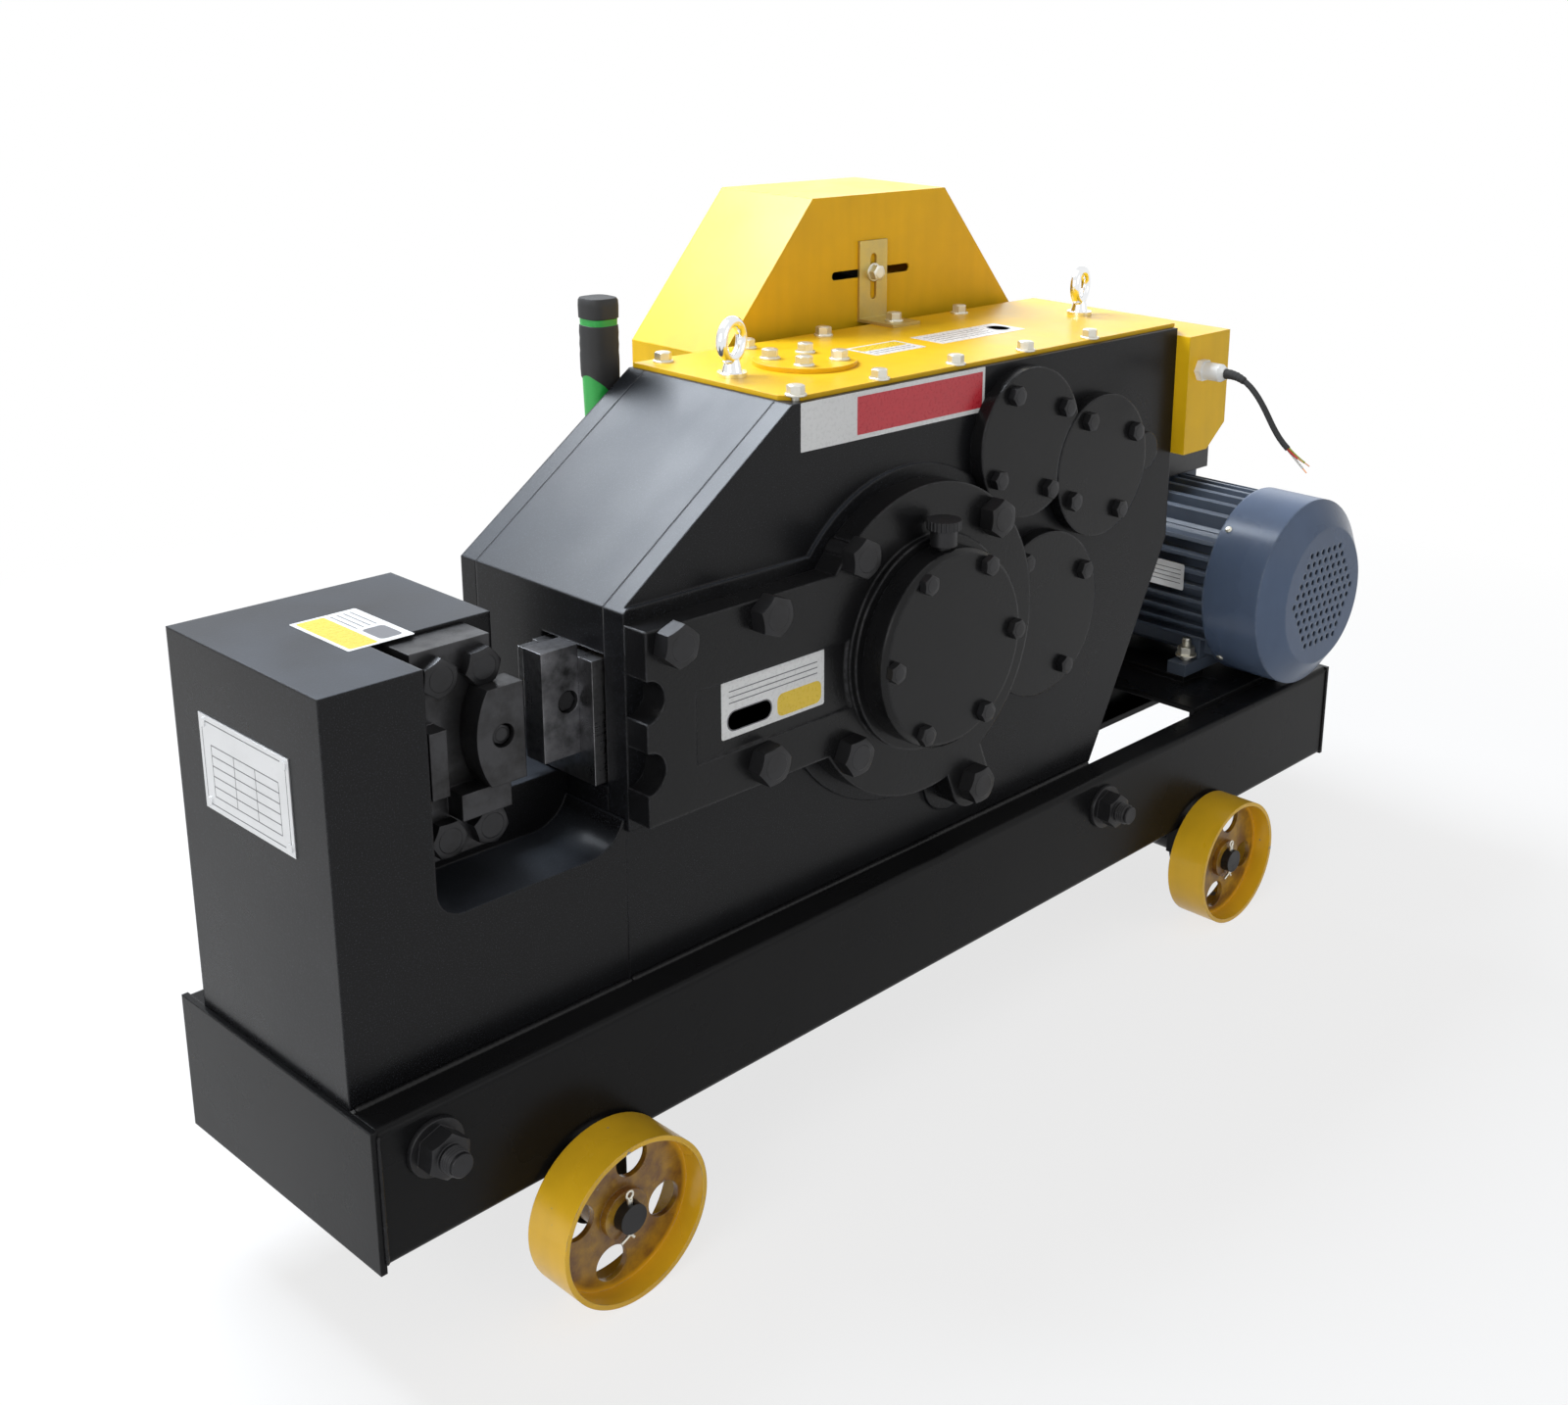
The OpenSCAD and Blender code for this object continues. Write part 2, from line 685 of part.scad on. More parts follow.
module blade_bolts() color("#2a2a2c") place() {
    for (p = holder_bolt_p) bolt_y(p, 26, m16_head, holder_y0, m16_r, pocket_y1 - holder_y0 + 30);
    bolt_y(fixed_bolt_p, 14, 7, holder_y0 - blade_t + sink_d, m10_r, blade_t - sink_d + 24);
}

module ram_bolt() color("#2a2a2c") place()
    bolt_y(moving_bolt_p, 14, 7, shear_y + shear_gap + sink_d, m10_r, blade_t - sink_d + 20);

// The ram: a bar with a nose behind the moving blade and a pocket for the con rod's small end
module ram() color("#8d9095") place() difference() {
    union() {
        block([ram_x0, ram_y0, ram_z0], [ram_x1, ram_y1, ram_z1]);
        block([nose_x0, shear_y + shear_gap + blade_t, ram_z0 + 18],
            [ram_x0 + 1, shear_y + shear_gap + blade_t + nose_d, ram_z1]);
    }
    block([small_end_x - rod_end_r - stroke - 3, ram_mid - rod_t / 2 - 2, crank_z - rod_pocket_h / 2],
        [ram_x1 + 1, ram_mid + rod_t / 2 + 2, crank_z + rod_pocket_h / 2]);
    bar_y(moving_bolt_p, m10_r + hole_gap, shear_y + blade_t, shear_y + blade_t + 22, 32);
}

// The ram's bed: a block from the gearbox floor with a guide wall behind the ram, and its keeper
module ram_bed() color("#3a3b3e") place() {
    block([bed_x0, in_y0, base_h + shell_t], [bed_x1, ram_y1 + liner_t, ram_z0 - liner_t]);
    block([bed_x0, ram_y1 + liner_t, base_h + shell_t],
        [bed_x1, ram_y1 + liner_t + 12, ram_z1 + liner_t]);
    block([bed_x0, in_y0, ram_z1 + liner_t], [bed_x1, ram_y1 + liner_t + 12, ram_z1 + liner_t + 26]);
}

// Bronze wear strips below, above and on both sides of the ram
module ram_liners() color("#b08d4a") place() {
    x0 = bed_x0 + 2;
    x1 = ram_x1 + 8;
    block([x0, ram_y0, ram_z0 - liner_t], [x1, ram_y1, ram_z0 - run]);
    block([x0, ram_y0, ram_z1 + run], [x1, ram_y1, ram_z1 + liner_t]);
    block([x0, in_y0, ram_z0], [x1, ram_y0 - run, ram_z1]);
    block([x0, ram_y1 + run, ram_z0], [x1, ram_y1 + liner_t, ram_z1]);
}

throw_p = [crank_x + crank_throw, crank_z];
small_end_p = [small_end_x, crank_z];

// The con rod, with a bush pressed in its big end and the wrist pin in its small end
module con_rod() color("#707276") place() {
    y0 = ram_mid - rod_t / 2;
    y1 = ram_mid + rod_t / 2;
    difference() {
        union() {
            bar_y(throw_p, rod_ring_r, y0, y1);
            bar_y(small_end_p, rod_end_r, y0, y1);
            block([small_end_x, y0, crank_z - 17], [throw_p[0], y1, crank_z + 17]);
        }
        bar_y(throw_p, throw_r + rod_bush_t, y0 - 1, y1 + 1);
        bar_y(small_end_p, wrist_r + fit, y0 - 1, y1 + 1);
    }
    ring_y(throw_p, throw_r + rod_bush_t - fit, throw_r + run, y0, y1);
    bar_y(small_end_p, wrist_r, y0, y1);
}

// The crankshaft: front journal, offset throw and rear journal
module crankshaft() color("#84868a") place() {
    y0 = ram_mid - rod_t / 2;
    y1 = ram_mid + rod_t / 2;
    bar_y(crank_p, journal_r, cover_y0 + 2, y0 - 2);
    bar_y(throw_p, throw_r, y0 - 2, y1 + 2);
    bar_y(crank_p, rear_journal_r, y1 + 2, body_y1 - 1);
}

// ---------- Gear train ----------

module crank_gear() color("#5f6165") place()
    wheel_gear(crank_p, slow_n[1], slow_m, slow_dir, slow_y0, slow_y0 + slow_w, rear_journal_r + fit, 60);

// A shaft cut in one piece with its pinion
module pinion_shaft(p, r, y0, y1, n, m, turn, gear_y0, gear_w) {
    bar_y(p, r, y0, y1);
    gear_y(p, n, m, turn, gear_y0, gear_y0 + gear_w);
}

front_end = in_y0 - bearing_w;
rear_end = in_y1 + bearing_w;

module pinion_shaft_3() color("#7b7e83") place()
    pinion_shaft(shaft3_p, shaft3_r, front_end, rear_end, slow_n[0], slow_m,
        slow_dir + 180 + 180 / slow_n[0], slow_y0, slow_w);

module gear_3() color("#5f6165") place()
    wheel_gear(shaft3_p, mid_n[1], mid_m, mid_dir, mid_y0, mid_y0 + mid_w, shaft3_r + fit, 40);

module pinion_shaft_2() color("#7b7e83") place()
    pinion_shaft(shaft2_p, shaft2_r, front_end, rear_end, mid_n[0], mid_m,
        mid_dir + 180 + 180 / mid_n[0], mid_y0, mid_w);

module gear_2() color("#5f6165") place()
    wheel_gear(shaft2_p, fast_n[1], fast_m, fast_dir, fast_y0, fast_y0 + fast_w, shaft2_r + fit, 30);

module pinion_shaft_1() color("#7b7e83") place()
    pinion_shaft(shaft1_p, shaft1_r, front_end, sheave_y0 + sheave_w + 6, fast_n[0], fast_m,
        fast_dir + 180 + 180 / fast_n[0], fast_y0, fast_w);

// One sealed bearing, with a shallow groove at each shield
module bearing(p, r_out, r_in, y0) {
    r_seal = (r_out + r_in) / 2;
    difference() {
        ring_y(p, r_out, r_in, y0, y0 + bearing_w);
        ring_y(p, r_seal + 5, r_seal - 5, y0 - 1, y0 + 0.6);
        ring_y(p, r_seal + 5, r_seal - 5, y0 + bearing_w - 0.6, y0 + bearing_w + 1);
    }
}

// Bearings of the three shafts, and the bronze bushes of the crankshaft
module bearings() color("#a9acb1") place() {
    shaft_r = [shaft1_r, shaft2_r, shaft3_r];
    for (k = [0 : 2]) {
        bearing(shaft_p[k], bearing_r[k], shaft_r[k] + run, front_end);
        bearing(shaft_p[k], bearing_r[k], shaft_r[k] + run, in_y1);
    }
    ring_y(crank_p, journal_r + 10, journal_r + run, cover_y0 + 2, in_y0);
    ring_y(crank_p, bearing_r[3], rear_journal_r + run, in_y1, body_y1 - 1);
}

// ---------- Belt drive ----------

groove_y = [for (i = [0 : belt_n - 1]) sheave_y0 + sheave_w / 2 + (i - (belt_n - 1) / 2) * belt_pitch];

// Half profile of a V groove or belt: w wide at radius r, narrowing over depth d
function vee(y, r, w, d, lean = 0.32) =
    [[r, y - w / 2], [r, y + w / 2], [r - d, y + w / 2 - d * lean], [r - d, y - w / 2 + d * lean]];

// A shape of radius and Y turned about the shaft at p; a partial turn starts at the angle given
module turned_y(p, start = 0, sweep = 360) {
    translate([p[0], 0, p[1]]) rotate([90, 0, 0]) rotate(start) mirror([0, 0, 1])
        rotate_extrude(angle = sweep, $fn = 96) children();
}

module sheave_grooves(p, r) {
    for (y = groove_y) turned_y(p) polygon(vee(y, r + 0.5, belt_w + 0.8, groove_d + 0.5));
}

flywheel_rim_r = flywheel_d / 2 - 30;

// The flywheel's web and hub
module flywheel_web() color("#232325") place() difference() {
    union() {
        bar_y(shaft1_p, flywheel_rim_r - fit, sheave_y0 + 16, sheave_y0 + 32);
        bar_y(shaft1_p, 38, sheave_y0 - 10, sheave_y0 + sheave_w);
    }
    bar_y(shaft1_p, shaft1_r + fit, sheave_y0 - 20, sheave_y0 + sheave_w + 1);
}

// Its heavy rim, with the grooves of the belts
module flywheel_rim() color("#232325") place() difference() {
    ring_y(shaft1_p, flywheel_d / 2, flywheel_rim_r, sheave_y0, sheave_y0 + sheave_w);
    sheave_grooves(shaft1_p, flywheel_d / 2);
}

module flywheel() {
    flywheel_web();
    flywheel_rim();
}

module motor_pulley() color("#2d2d30") place() difference() {
    bar_y(motor_p, pulley_d / 2, sheave_y0, sheave_y0 + sheave_w);
    bar_y(motor_p, motor_shaft_r + fit, sheave_y0 - 1, sheave_y0 + sheave_w + 1);
    sheave_grooves(motor_p, pulley_d / 2);
}

// Each belt: an arc on each sheave and two straight runs between them
module v_belts() color("#111111") place() {
    belt_d = groove_d - 1;
    r1 = flywheel_d / 2;
    r2 = pulley_d / 2;
    run_l = belt_run * cos(belt_lean);
    for (y = groove_y) {
        turned_y(shaft1_p, belt_dir + 90 - belt_lean, 180 + 2 * belt_lean)
            polygon(vee(y, r1, belt_w, belt_d));
        turned_y(motor_p, belt_dir - 90 + belt_lean, 180 - 2 * belt_lean)
            polygon(vee(y, r2, belt_w, belt_d));
        for (side = [0, 1])
            translate([shaft1_p[0], 0, shaft1_p[1]]) rotate([0, -belt_dir, 0]) mirror([0, 0, side])
                rotate([0, belt_lean, 0]) translate([-0.5, 0, 0]) rotate([90, 0, 90]) linear_extrude(run_l + 1)
                polygon([for (q = vee(y, r1, belt_w, belt_d)) [q[1], q[0]]]);
    }
}

// ---------- Covers ----------

module side_cover() color("#1b1b1d") place() difference() {
    union() {
        plate_y(cover_y0, cover_y1) cover_outline();
        plate_y(cover_y1 - 1, in_y0) service_outline(fit);
        bar_y(crank_p, boss_r, cover_y0 - boss_t, cover_y0 + 1);
    }
    for (dz = [28, -29]) bar_y([box_x0, crank_z + dz], 17, cover_y0 - 1, cover_y1 + 0.5, 32);
    difference() {
        block([box_x0 + 47, cover_y0 - 1, crank_z - 35], [crank_x, cover_y0 + 2, crank_z + 24]);
        bar_y(crank_p, boss_r + 4, cover_y0 - 2, cover_y0 + 3);
    }
    bar_y(crank_p, journal_r + 10 + fit, cover_y0 - boss_t - 1, in_y0 + 1);
    for (q = cover_bolt_p) bar_y(crank_p + q, m20_r + hole_gap, cover_y0 - 2, cover_y1 + 1, 32);
    for (q = round_about(crank_p, crank_bolt_r, 6, 0))
        bar_y(q, 5 + hole_gap, cover_y0 - boss_t - 1, cover_y0 + 8, 24);
}

cup_p = [crank_x - 4, crank_cover_y0 + 13];
cup_z = crank_z + crank_cover_d / 2 - 3;

module crank_cover() color("#1b1b1d") place() difference() {
    r = crank_cover_d / 2;
    y1 = crank_cover_y0 + crank_cover_t;
    turned_y(crank_p) polygon([[0, crank_cover_y0], [r - 4, crank_cover_y0], [r, crank_cover_y0 + 4],
        [r, y1], [r - 28, y1], [r - 28, crank_cover_y0 + 9], [0, crank_cover_y0 + 9]]);
    for (q = round_about(crank_p, crank_bolt_r, 6, 0))
        bar_y(q, 5 + hole_gap, crank_cover_y0 - 1, y1 + 1, 24);
    translate([cup_p[0], cup_p[1], cup_z - 9]) cylinder(r = 6 + fit, h = 40, $fn = 32);
}

// Caps over the front ends of the three shafts, cut back where they meet each other and the side
// cover, a small blind cap, and the caps on the rear wall
module shaft_caps() color("#1d1d1f") place() {
    for (k = [0 : 2]) difference() {
        union() {
            bar_y(shaft_p[k], cap_r[k], body_y0 - cap_t, body_y0);
            bar_y(shaft_p[k], bearing_r[k] - fit, body_y0 - 1, front_end - 0.2);
        }
        cap_bolt_places(k, cap_bolt_r[k]) bar_y([0, 0], 5 + hole_gap, body_y0 - cap_t - 1, body_y0 + 1, 24);
        if (k == 0) bar_y(shaft_p[1], cap_r[1] + 1.5, body_y0 - cap_t - 1, body_y0 + 1);
        bar_y(crank_p, cover_r + 1.5, body_y0 - cap_t - 1, body_y0 + 1);
    }
    bar_y(shaft2_p + [79, 0], 19, body_y0 - 8, body_y0);
    for (k = [0 : 3]) difference() {
        bar_y(shaft_p[k], rear_cap_r[k], body_y1, body_y1 + 8);
        if (k == 0) bar_y(shaft1_p, shaft1_r + 1, body_y1 - 1, body_y1 + 9);
    }
}

module bearing_covers() {
    crank_cover();
    shaft_caps();
}

// Bolts of the side cover, the crank cover and the bearing covers
module cover_bolts() color("#202022") place() {
    for (q = cover_bolt_p) bolt_y(crank_p + q, 30, m20_head, cover_y0, m20_r, cover_bolt_l);
    for (q = round_about(crank_p, crank_bolt_r, 6, 0))
        bolt_y(q, 16, 7, crank_cover_y0, 5, crank_cover_t + 14);
    for (k = [0 : 2]) cap_bolt_places(k, cap_bolt_r[k]) bolt_y([0, 0], 16, 7, body_y0 - cap_t, 5, cap_bolt_l);
}

module grease_cup() color("#2a2a2c") place() translate([cup_p[0], cup_p[1], cup_z]) {
    translate([0, 0, -5]) cylinder(r = 6, h = 13, $fn = 32);
    translate([0, 0, 6]) cylinder(r = 11.5, h = 14);
}

module grease_cap() color("#3a3a3d") place() translate([cup_p[0], cup_p[1], cup_z + 20.3])
    difference() {
        cylinder(r = 15, h = 8);
        for (i = [0 : 23]) rotate(i * 15) translate([15.4, 0, -1]) cylinder(r = 1.1, h = 10, $fn = 16);
    }

// ---------- Top plate ----------

top_x0 = box_x0 + slope_run + 3;
top_x1 = box_x1 + 17;
top_y0 = body_y0 + 6;
top_y1 = body_y1 - 2;
top_bolt_x = [for (i = [0 : 4]) top_x0 + 22 + i * (box_l - slope_run - 134) / 4.1];
top_bolt_y = [in_y0 - 8, in_y1 + 5];
top_bolt_p = [for (x = top_bolt_x) each [[x - 10, top_bolt_y[0]], [x, top_bolt_y[1]]]];
m8_r = 4;
m8_flats = 13;
m8_head = 7;
disc_p = [top_x0 + 107, body_mid];
disc_r = 45;
disc_t = 4;
eye_x = [top_x0 + 24, top_x1 - 48];

module top_bolt_holes() {
    for (p = top_bolt_p)
        translate([p[0], p[1], box_top - 15]) cylinder(r = m8_r + hole_gap, h = 30, $fn = 24);
}

module top_plate() color("#e8ab12") place() difference() {
    z1 = box_top + top_t;
    c = 14;
    translate([0, 0, box_top]) linear_extrude(top_t) polygon([[top_x0 + c, top_y0], [top_x1 - c, top_y0],
        [top_x1, top_y0 + c], [top_x1, top_y1], [top_x0, top_y1], [top_x0, top_y0 + c]]);
    top_bolt_holes();
    translate([disc_p[0], disc_p[1], box_top - 1]) cylinder(r = disc_r - 23, h = top_t + 2);
    disc_bolt_holes();
    for (x = eye_x) translate([x, body_mid, box_top - 1]) cylinder(r = 8 + hole_gap, h = 9, $fn = 32);
}

disc_bolt_p = [for (sx = [-1, 1], sy = [-1, 1]) disc_p + 21 * [sx, sy]];

module disc_bolt_holes() {
    for (p = disc_bolt_p) translate([p[0], p[1], box_top - 1])
        cylinder(r = m8_r + hole_gap, h = top_t + disc_t + 2, $fn = 24);
}

module inspection_cover() color("#e8ab12") place() difference() {
    translate([disc_p[0], disc_p[1], box_top + top_t]) cylinder(r = disc_r, h = disc_t);
    disc_bolt_holes();
}

// A zinc flange bolt with its washer, seated at the height z
module top_bolt(x, y, z, shank_l) {
    translate([x, y, z]) {
        cylinder(r = 9, h = 1.6, $fn = 32);
        translate([0, 0, 1.6]) cylinder(r = m8_flats / sqrt(3), h = m8_head, $fn = 6);
        translate([0, 0, -shank_l]) cylinder(r = m8_r, h = shank_l + 1, $fn = 24);
    }
}

bracket_x = top_bolt_x[3];
bracket_t = 3;

module top_bolts() color("#c4c2b6") place() {
    z = box_top + top_t;
    for (p = top_bolt_p)
        top_bolt(p[0], p[1], z + (p == [bracket_x, top_bolt_y[1]] ? bracket_t : 0), top_t + 12);
    for (p = disc_bolt_p) top_bolt(p[0], p[1], z + disc_t, disc_t + top_t);
    bolt_y([bracket_x, slot_z], 14, 7, guard_y0 - bracket_t, 4, 14);
}

// Lifting eyes: collar, neck and ring, screwed into the top plate, each turned a little from Y
eye_turn = 17;
eye_ring = [15.5, 4.8];
eye_up = 30;

module eye_bolts() color("#d3d5d8") place() {
    for (x = eye_x) translate([x, body_mid, box_top + top_t]) {
        translate([0, 0, -6]) cylinder(r = 8, h = 8, $fn = 32);
        cylinder(r = 12.5, h = 4);
        translate([0, 0, 3]) cylinder(r1 = 9, r2 = 6, h = 11, $fn = 32);
        translate([0, 0, eye_up]) rotate([90, 0, eye_turn]) rotate_extrude()
            translate([eye_ring[0], 0]) circle(eye_ring[1], $fn = 32);
    }
}

// ---------- Belt guard ----------

slot_z = box_top + 51;
hood_mid = shaft1_p[0] + 41;
hood_top = 126;
hood_half = [92, 207];
guard_r = pulley_d / 2 + 24;

// Outline of the guard: a trapezoid over the flywheel that runs down to the motor pulley
guard_outline = [[hood_mid - hood_half[1], base_h + 130], [motor_p[0] - guard_r - 60, base_h + 8],
    [motor_p[0] + guard_r - 20, base_h + 8], [motor_p[0] + guard_r, base_h + 30],
    [motor_p[0] + guard_r, motor_p[1] + 60], [hood_mid + hood_half[1], box_top - 10],
    [hood_mid + hood_half[0], box_top + hood_top], [hood_mid - hood_half[0], box_top + hood_top],
    [hood_mid - hood_half[1], box_top - 10]];

module belt_guard() color("#e8ab12") place() {
    difference() {
        union() {
            plate_y(guard_y1 - guard_t, guard_y1) polygon(guard_outline);
            plate_y(motor_end + 3, guard_y1) guard_ring();
            plate_y(guard_y0, guard_y1) intersection() {
                guard_ring();
                hood_zone();
            }
            plate_y(guard_y0, guard_y0 + guard_t) intersection() {
                polygon(guard_outline);
                hood_zone();
            }
        }
        plate_y(guard_y0 - 1, guard_y0 + guard_t + 1) {
            translate([bracket_x - 50, slot_z - 4]) square([100, 8]);
            for (sx = [-50, 50]) translate([bracket_x + sx, slot_z]) circle(4, $fn = 32);
        }
    }
}

module guard_ring() difference() {
    polygon(guard_outline);
    polygon(inset(guard_outline, guard_t));
}

// The part of the guard that reaches forward, above the body's rear edge
module hood_zone() {
    translate([hood_mid - hood_half[1] - 1, box_top - 34])
        square([2 * hood_half[1] + 2, hood_top + 40]);
}

// The slotted angle that ties the guard to the top plate
module guard_bracket() color("#b5a565") place() difference() {
    half = 19;
    z = box_top + top_t;
    union() {
        block([bracket_x - half, guard_y0 - bracket_t, z], [bracket_x + half, guard_y0, z + 78]);
        block([bracket_x - half, in_y1 - 12, z], [bracket_x + half, guard_y0, z + bracket_t]);
    }
    block([bracket_x - 4 - hole_gap, guard_y0 - 5, slot_z - 22], [bracket_x + 4 + hole_gap, guard_y0 + 1, slot_z + 14]);
    for (dz = [-22, 14]) bar_y([bracket_x, slot_z + dz], 4 + hole_gap, guard_y0 - 5, guard_y0 + 1, 32);
    translate([bracket_x, top_bolt_y[1], z - 1]) cylinder(r = m8_r + hole_gap, h = 9, $fn = 24);
}

// ---------- Switch box and cable ----------

button_r = 11;
button_p = [[switch_y0 + 66, switch_z1 - 45], [switch_y0 + 116, switch_z1 - 45]];
button_travel = 4;
bezel_t = 3;
sheet_t = 2;
switch_outline = [[switch_x0, switch_z0], [switch_x1 - 30, switch_z0], [switch_x1, switch_z0 + 24],
    [switch_x1, switch_z1], [switch_x0, switch_z1]];

// A round bar along X
module bar_x(p, r, x0, x1) {
    translate([x0, p[0], p[1]]) rotate([0, 90, 0]) cylinder(r = r, h = x1 - x0, $fn = 48);
}

// Sheet-metal box with two button bezels on its end, and the contactor inside
module switch_box() color("#e8ab12") place() {
    difference() {
        union() {
            difference() {
                plate_y(switch_y0, switch_y1) polygon(switch_outline);
                plate_y(switch_y0 + sheet_t, switch_y1 - sheet_t) polygon(inset(switch_outline, sheet_t));
            }
            for (p = button_p) bar_x(p, button_r + 4, switch_x1 - 1, switch_x1 + bezel_t);
        }
        for (p = button_p) bar_x(p, button_r + run, switch_x1 - sheet_t - 1, switch_x1 + bezel_t + 1);
        bar_y([gland_x, gland_z], 8 + fit, switch_y0 - 1, switch_y0 + sheet_t + 1, 48);
    }
    block([switch_x0 + sheet_t, body_mid - 40, switch_z0 + 30],
        [switch_x0 + sheet_t + 30, body_mid + 40, switch_z1 - 20]);
}

// A push button: cap outside, stem through the bezel and a flange that keeps it in
module push_button(p) {
    bar_x(p, button_r, switch_x1 - sheet_t - 1, switch_x1 + bezel_t + button_travel + 1);
    bar_x(p, button_r + 3, switch_x1 - sheet_t - 3.3, switch_x1 - sheet_t - 0.3);
}

module start_button() color("#1f8a3b") place() push_button(button_p[0]);
module stop_button() color("#c02020") place() push_button(button_p[1]);

gland_y0 = cable_route[0][1];

// Plastic gland: neck through the box's wall, hexagon, and a domed nut round the cable
module cable_gland() color("#e9e9e6") place() difference() {
    p = [gland_x, gland_z];
    union() {
        bar_y(p, 8, switch_y0 - 1, switch_y0 + 10, 48);
        hex_y(p, 20, switch_y0 - 7, switch_y0);
        turned_y(p) polygon([[0, gland_y0], [6, gland_y0], [9, gland_y0 + 5],
            [9, switch_y0 - 6], [0, switch_y0 - 6]]);
    }
    bar_y(p, cable_d / 2 + fit, gland_y0 - 1, switch_y0 + 11, 48);
}

// A tube swept along points: one ring of corners about each, joined into a closed skin
function path_dir(pts, i) = let (n = len(pts) - 1) unit(pts[min(i + 1, n)] - pts[max(i - 1, 0)]);
function ring_at(c, d, r, n) =
    let (u = unit(cross(d, [1, 0, 0])), v = cross(d, u))
    [for (k = [0 : n - 1]) c + r * (cos(k * 360 / n) * u + sin(k * 360 / n) * v)];

module tube(pts, r, n = 8) {
    last = len(pts) - 1;
    corners = [for (i = [0 : last]) each ring_at(pts[i], i == 0 ? unit(pts[1] - pts[0]) : path_dir(pts, i), r, n)];
    sides = [for (i = [0 : last - 1], k = [0 : n - 1])
        [i * n + k, i * n + (k + 1) % n, (i + 1) * n + (k + 1) % n, (i + 1) * n + k]];
    ends = [[for (k = [0 : n - 1]) n - 1 - k], [for (k = [0 : n - 1]) last * n + k]];
    polyhedron(points = corners, faces = concat(sides, ends), convexity = 4);
}

module power_cable() color("#111112") place() tube(cable_route, cable_d / 2);

// ---------- Motor ----------

motor_x = motor_p[0];
motor_z = motor_p[1];
stator_r = 80;
rotor_r = 56;
box_half = 53;
box_y0 = motor_end - 129;
rim_r = fan_cover_d / 2 - 2;
barrel_r = motor_frame_r - 4;
fin_pitch = 16;
bank_gap = 0.4;
fin_t = 4;
pad_half = 44;
pad_y0 = box_y0 + 9;
pad_y1 = box_y0 + 97;

// The barrel's two feet across it, and the pad that the terminal box stands on
module motor_feet_and_pad() {
    for (y = foot_y) block([foot_x[0] - 18, y - foot_half, foot_z], [foot_x[1] + 18, y + foot_half, foot_z + foot_t]);
    for (y = foot_y) block([motor_x - 68, y - foot_half + 2, foot_z + 1], [motor_x + 68, y + foot_half - 2, motor_z - 50]);
    block([motor_x - pad_half, pad_y0, motor_z + 60], [motor_x + pad_half, pad_y1, motor_z + fin_r + 3]);
}

// The frame's barrel with its feet and pad
module motor_barrel() color("#6d7683") place() {
    y1 = frame_y0 + frame_l;
    difference() {
        union() {
            bar_y(motor_p, barrel_r, frame_y0, y1);
            motor_feet_and_pad();
        }
        bar_y(motor_p, stator_r + fit, frame_y0 - 1, y1 + 1);
        for (x = foot_x, y = foot_y) translate([x, y, foot_z - 1]) cylinder(r = 6 + hole_gap, h = 30, $fn = 24);
    }
}

// The frame's cooling fins: four banks of parallel ribs, each on its quarter of the skin
module motor_fins() color("#6d7683") place() {
    y1 = frame_y0 + frame_l;
    for (turn = [0 : 90 : 270]) difference() {
        translate([motor_x, 0, motor_z]) plate_y(frame_y0, y1) rotate(turn) intersection() {
            circle(fin_r);
            translate([bank_gap, 0]) polygon([[0, 0], [2 * fin_r, -2 * fin_r], [2 * fin_r, 2 * fin_r]]);
            union() {
                circle(motor_frame_r);
                for (k = [-3.5 : 3.5]) translate([0, k * fin_pitch - fin_t / 2]) square([fin_r, fin_t]);
            }
        }
        bar_y(motor_p, barrel_r + fit, frame_y0 - 1, y1 + 1);
        motor_feet_and_pad();
    }
}

// The ring of windings and core inside the frame
module motor_stator() color("#3a3a3c") place()
    ring_y(motor_p, stator_r, rotor_r + 0.6, frame_y0 + 15, frame_y0 + frame_l - 15);

// End shields at the pulley end and at the fan end
module motor_shields() color("#6d7683") place() {
    y1 = frame_y0 + frame_l;
    difference() {
        union() {
            bar_y(motor_p, 97, y1 + fit, y1 + shield_t - 6);
            bar_y(motor_p, 50, y1 + fit, motor_end);
        }
        bar_y(motor_p, motor_shaft_r + run, y1 - 1, motor_end + 1);
    }
    difference() {
        union() {
            bar_y(motor_p, 95, frame_y0 - fan_shield_t, frame_y0 - fit);
            bar_y(motor_p, rim_r - 0.3, frame_y0 - fan_shield_t, frame_y0 - fan_shield_t + 6);
        }
        bar_y(motor_p, motor_shaft_r + run, frame_y0 - fan_shield_t - 1, frame_y0 + 1);
    }
}

module motor_frame() {
    motor_barrel();
    motor_shields();
}

module terminal_box() color("#202124") place() {
    z0 = motor_z + fin_r + 3;
    block([motor_x - box_half, box_y0, z0], [motor_x + box_half, box_y0 + 106, z0 + 46]);
    block([motor_x - box_half - 2, box_y0 - 2, z0 + 46], [motor_x + box_half + 2, box_y0 + 108, z0 + 56]);
}

module motor_bolts() color("#c4c2b6") place()
    for (x = foot_x, y = foot_y) translate([x, y, foot_z + foot_t]) {
        cylinder(r = 12, h = 2, $fn = 32);
        translate([0, 0, 2]) cylinder(r = 17 / sqrt(3), h = 9, $fn = 6);
        translate([0, 0, -foot_t - motor_plate_t]) cylinder(r = 6, h = foot_t + motor_plate_t + 16, $fn = 24);
    }

// Shaft with the rotor's core
module motor_shaft() color("#a4a7ab") place() {
    bar_y(motor_p, motor_shaft_r, frame_y0 - fan_shield_t - 46, sheave_y0 + sheave_w + 4);
    bar_y(motor_p, rotor_r, frame_y0 + 15, frame_y0 + frame_l - 15);
}

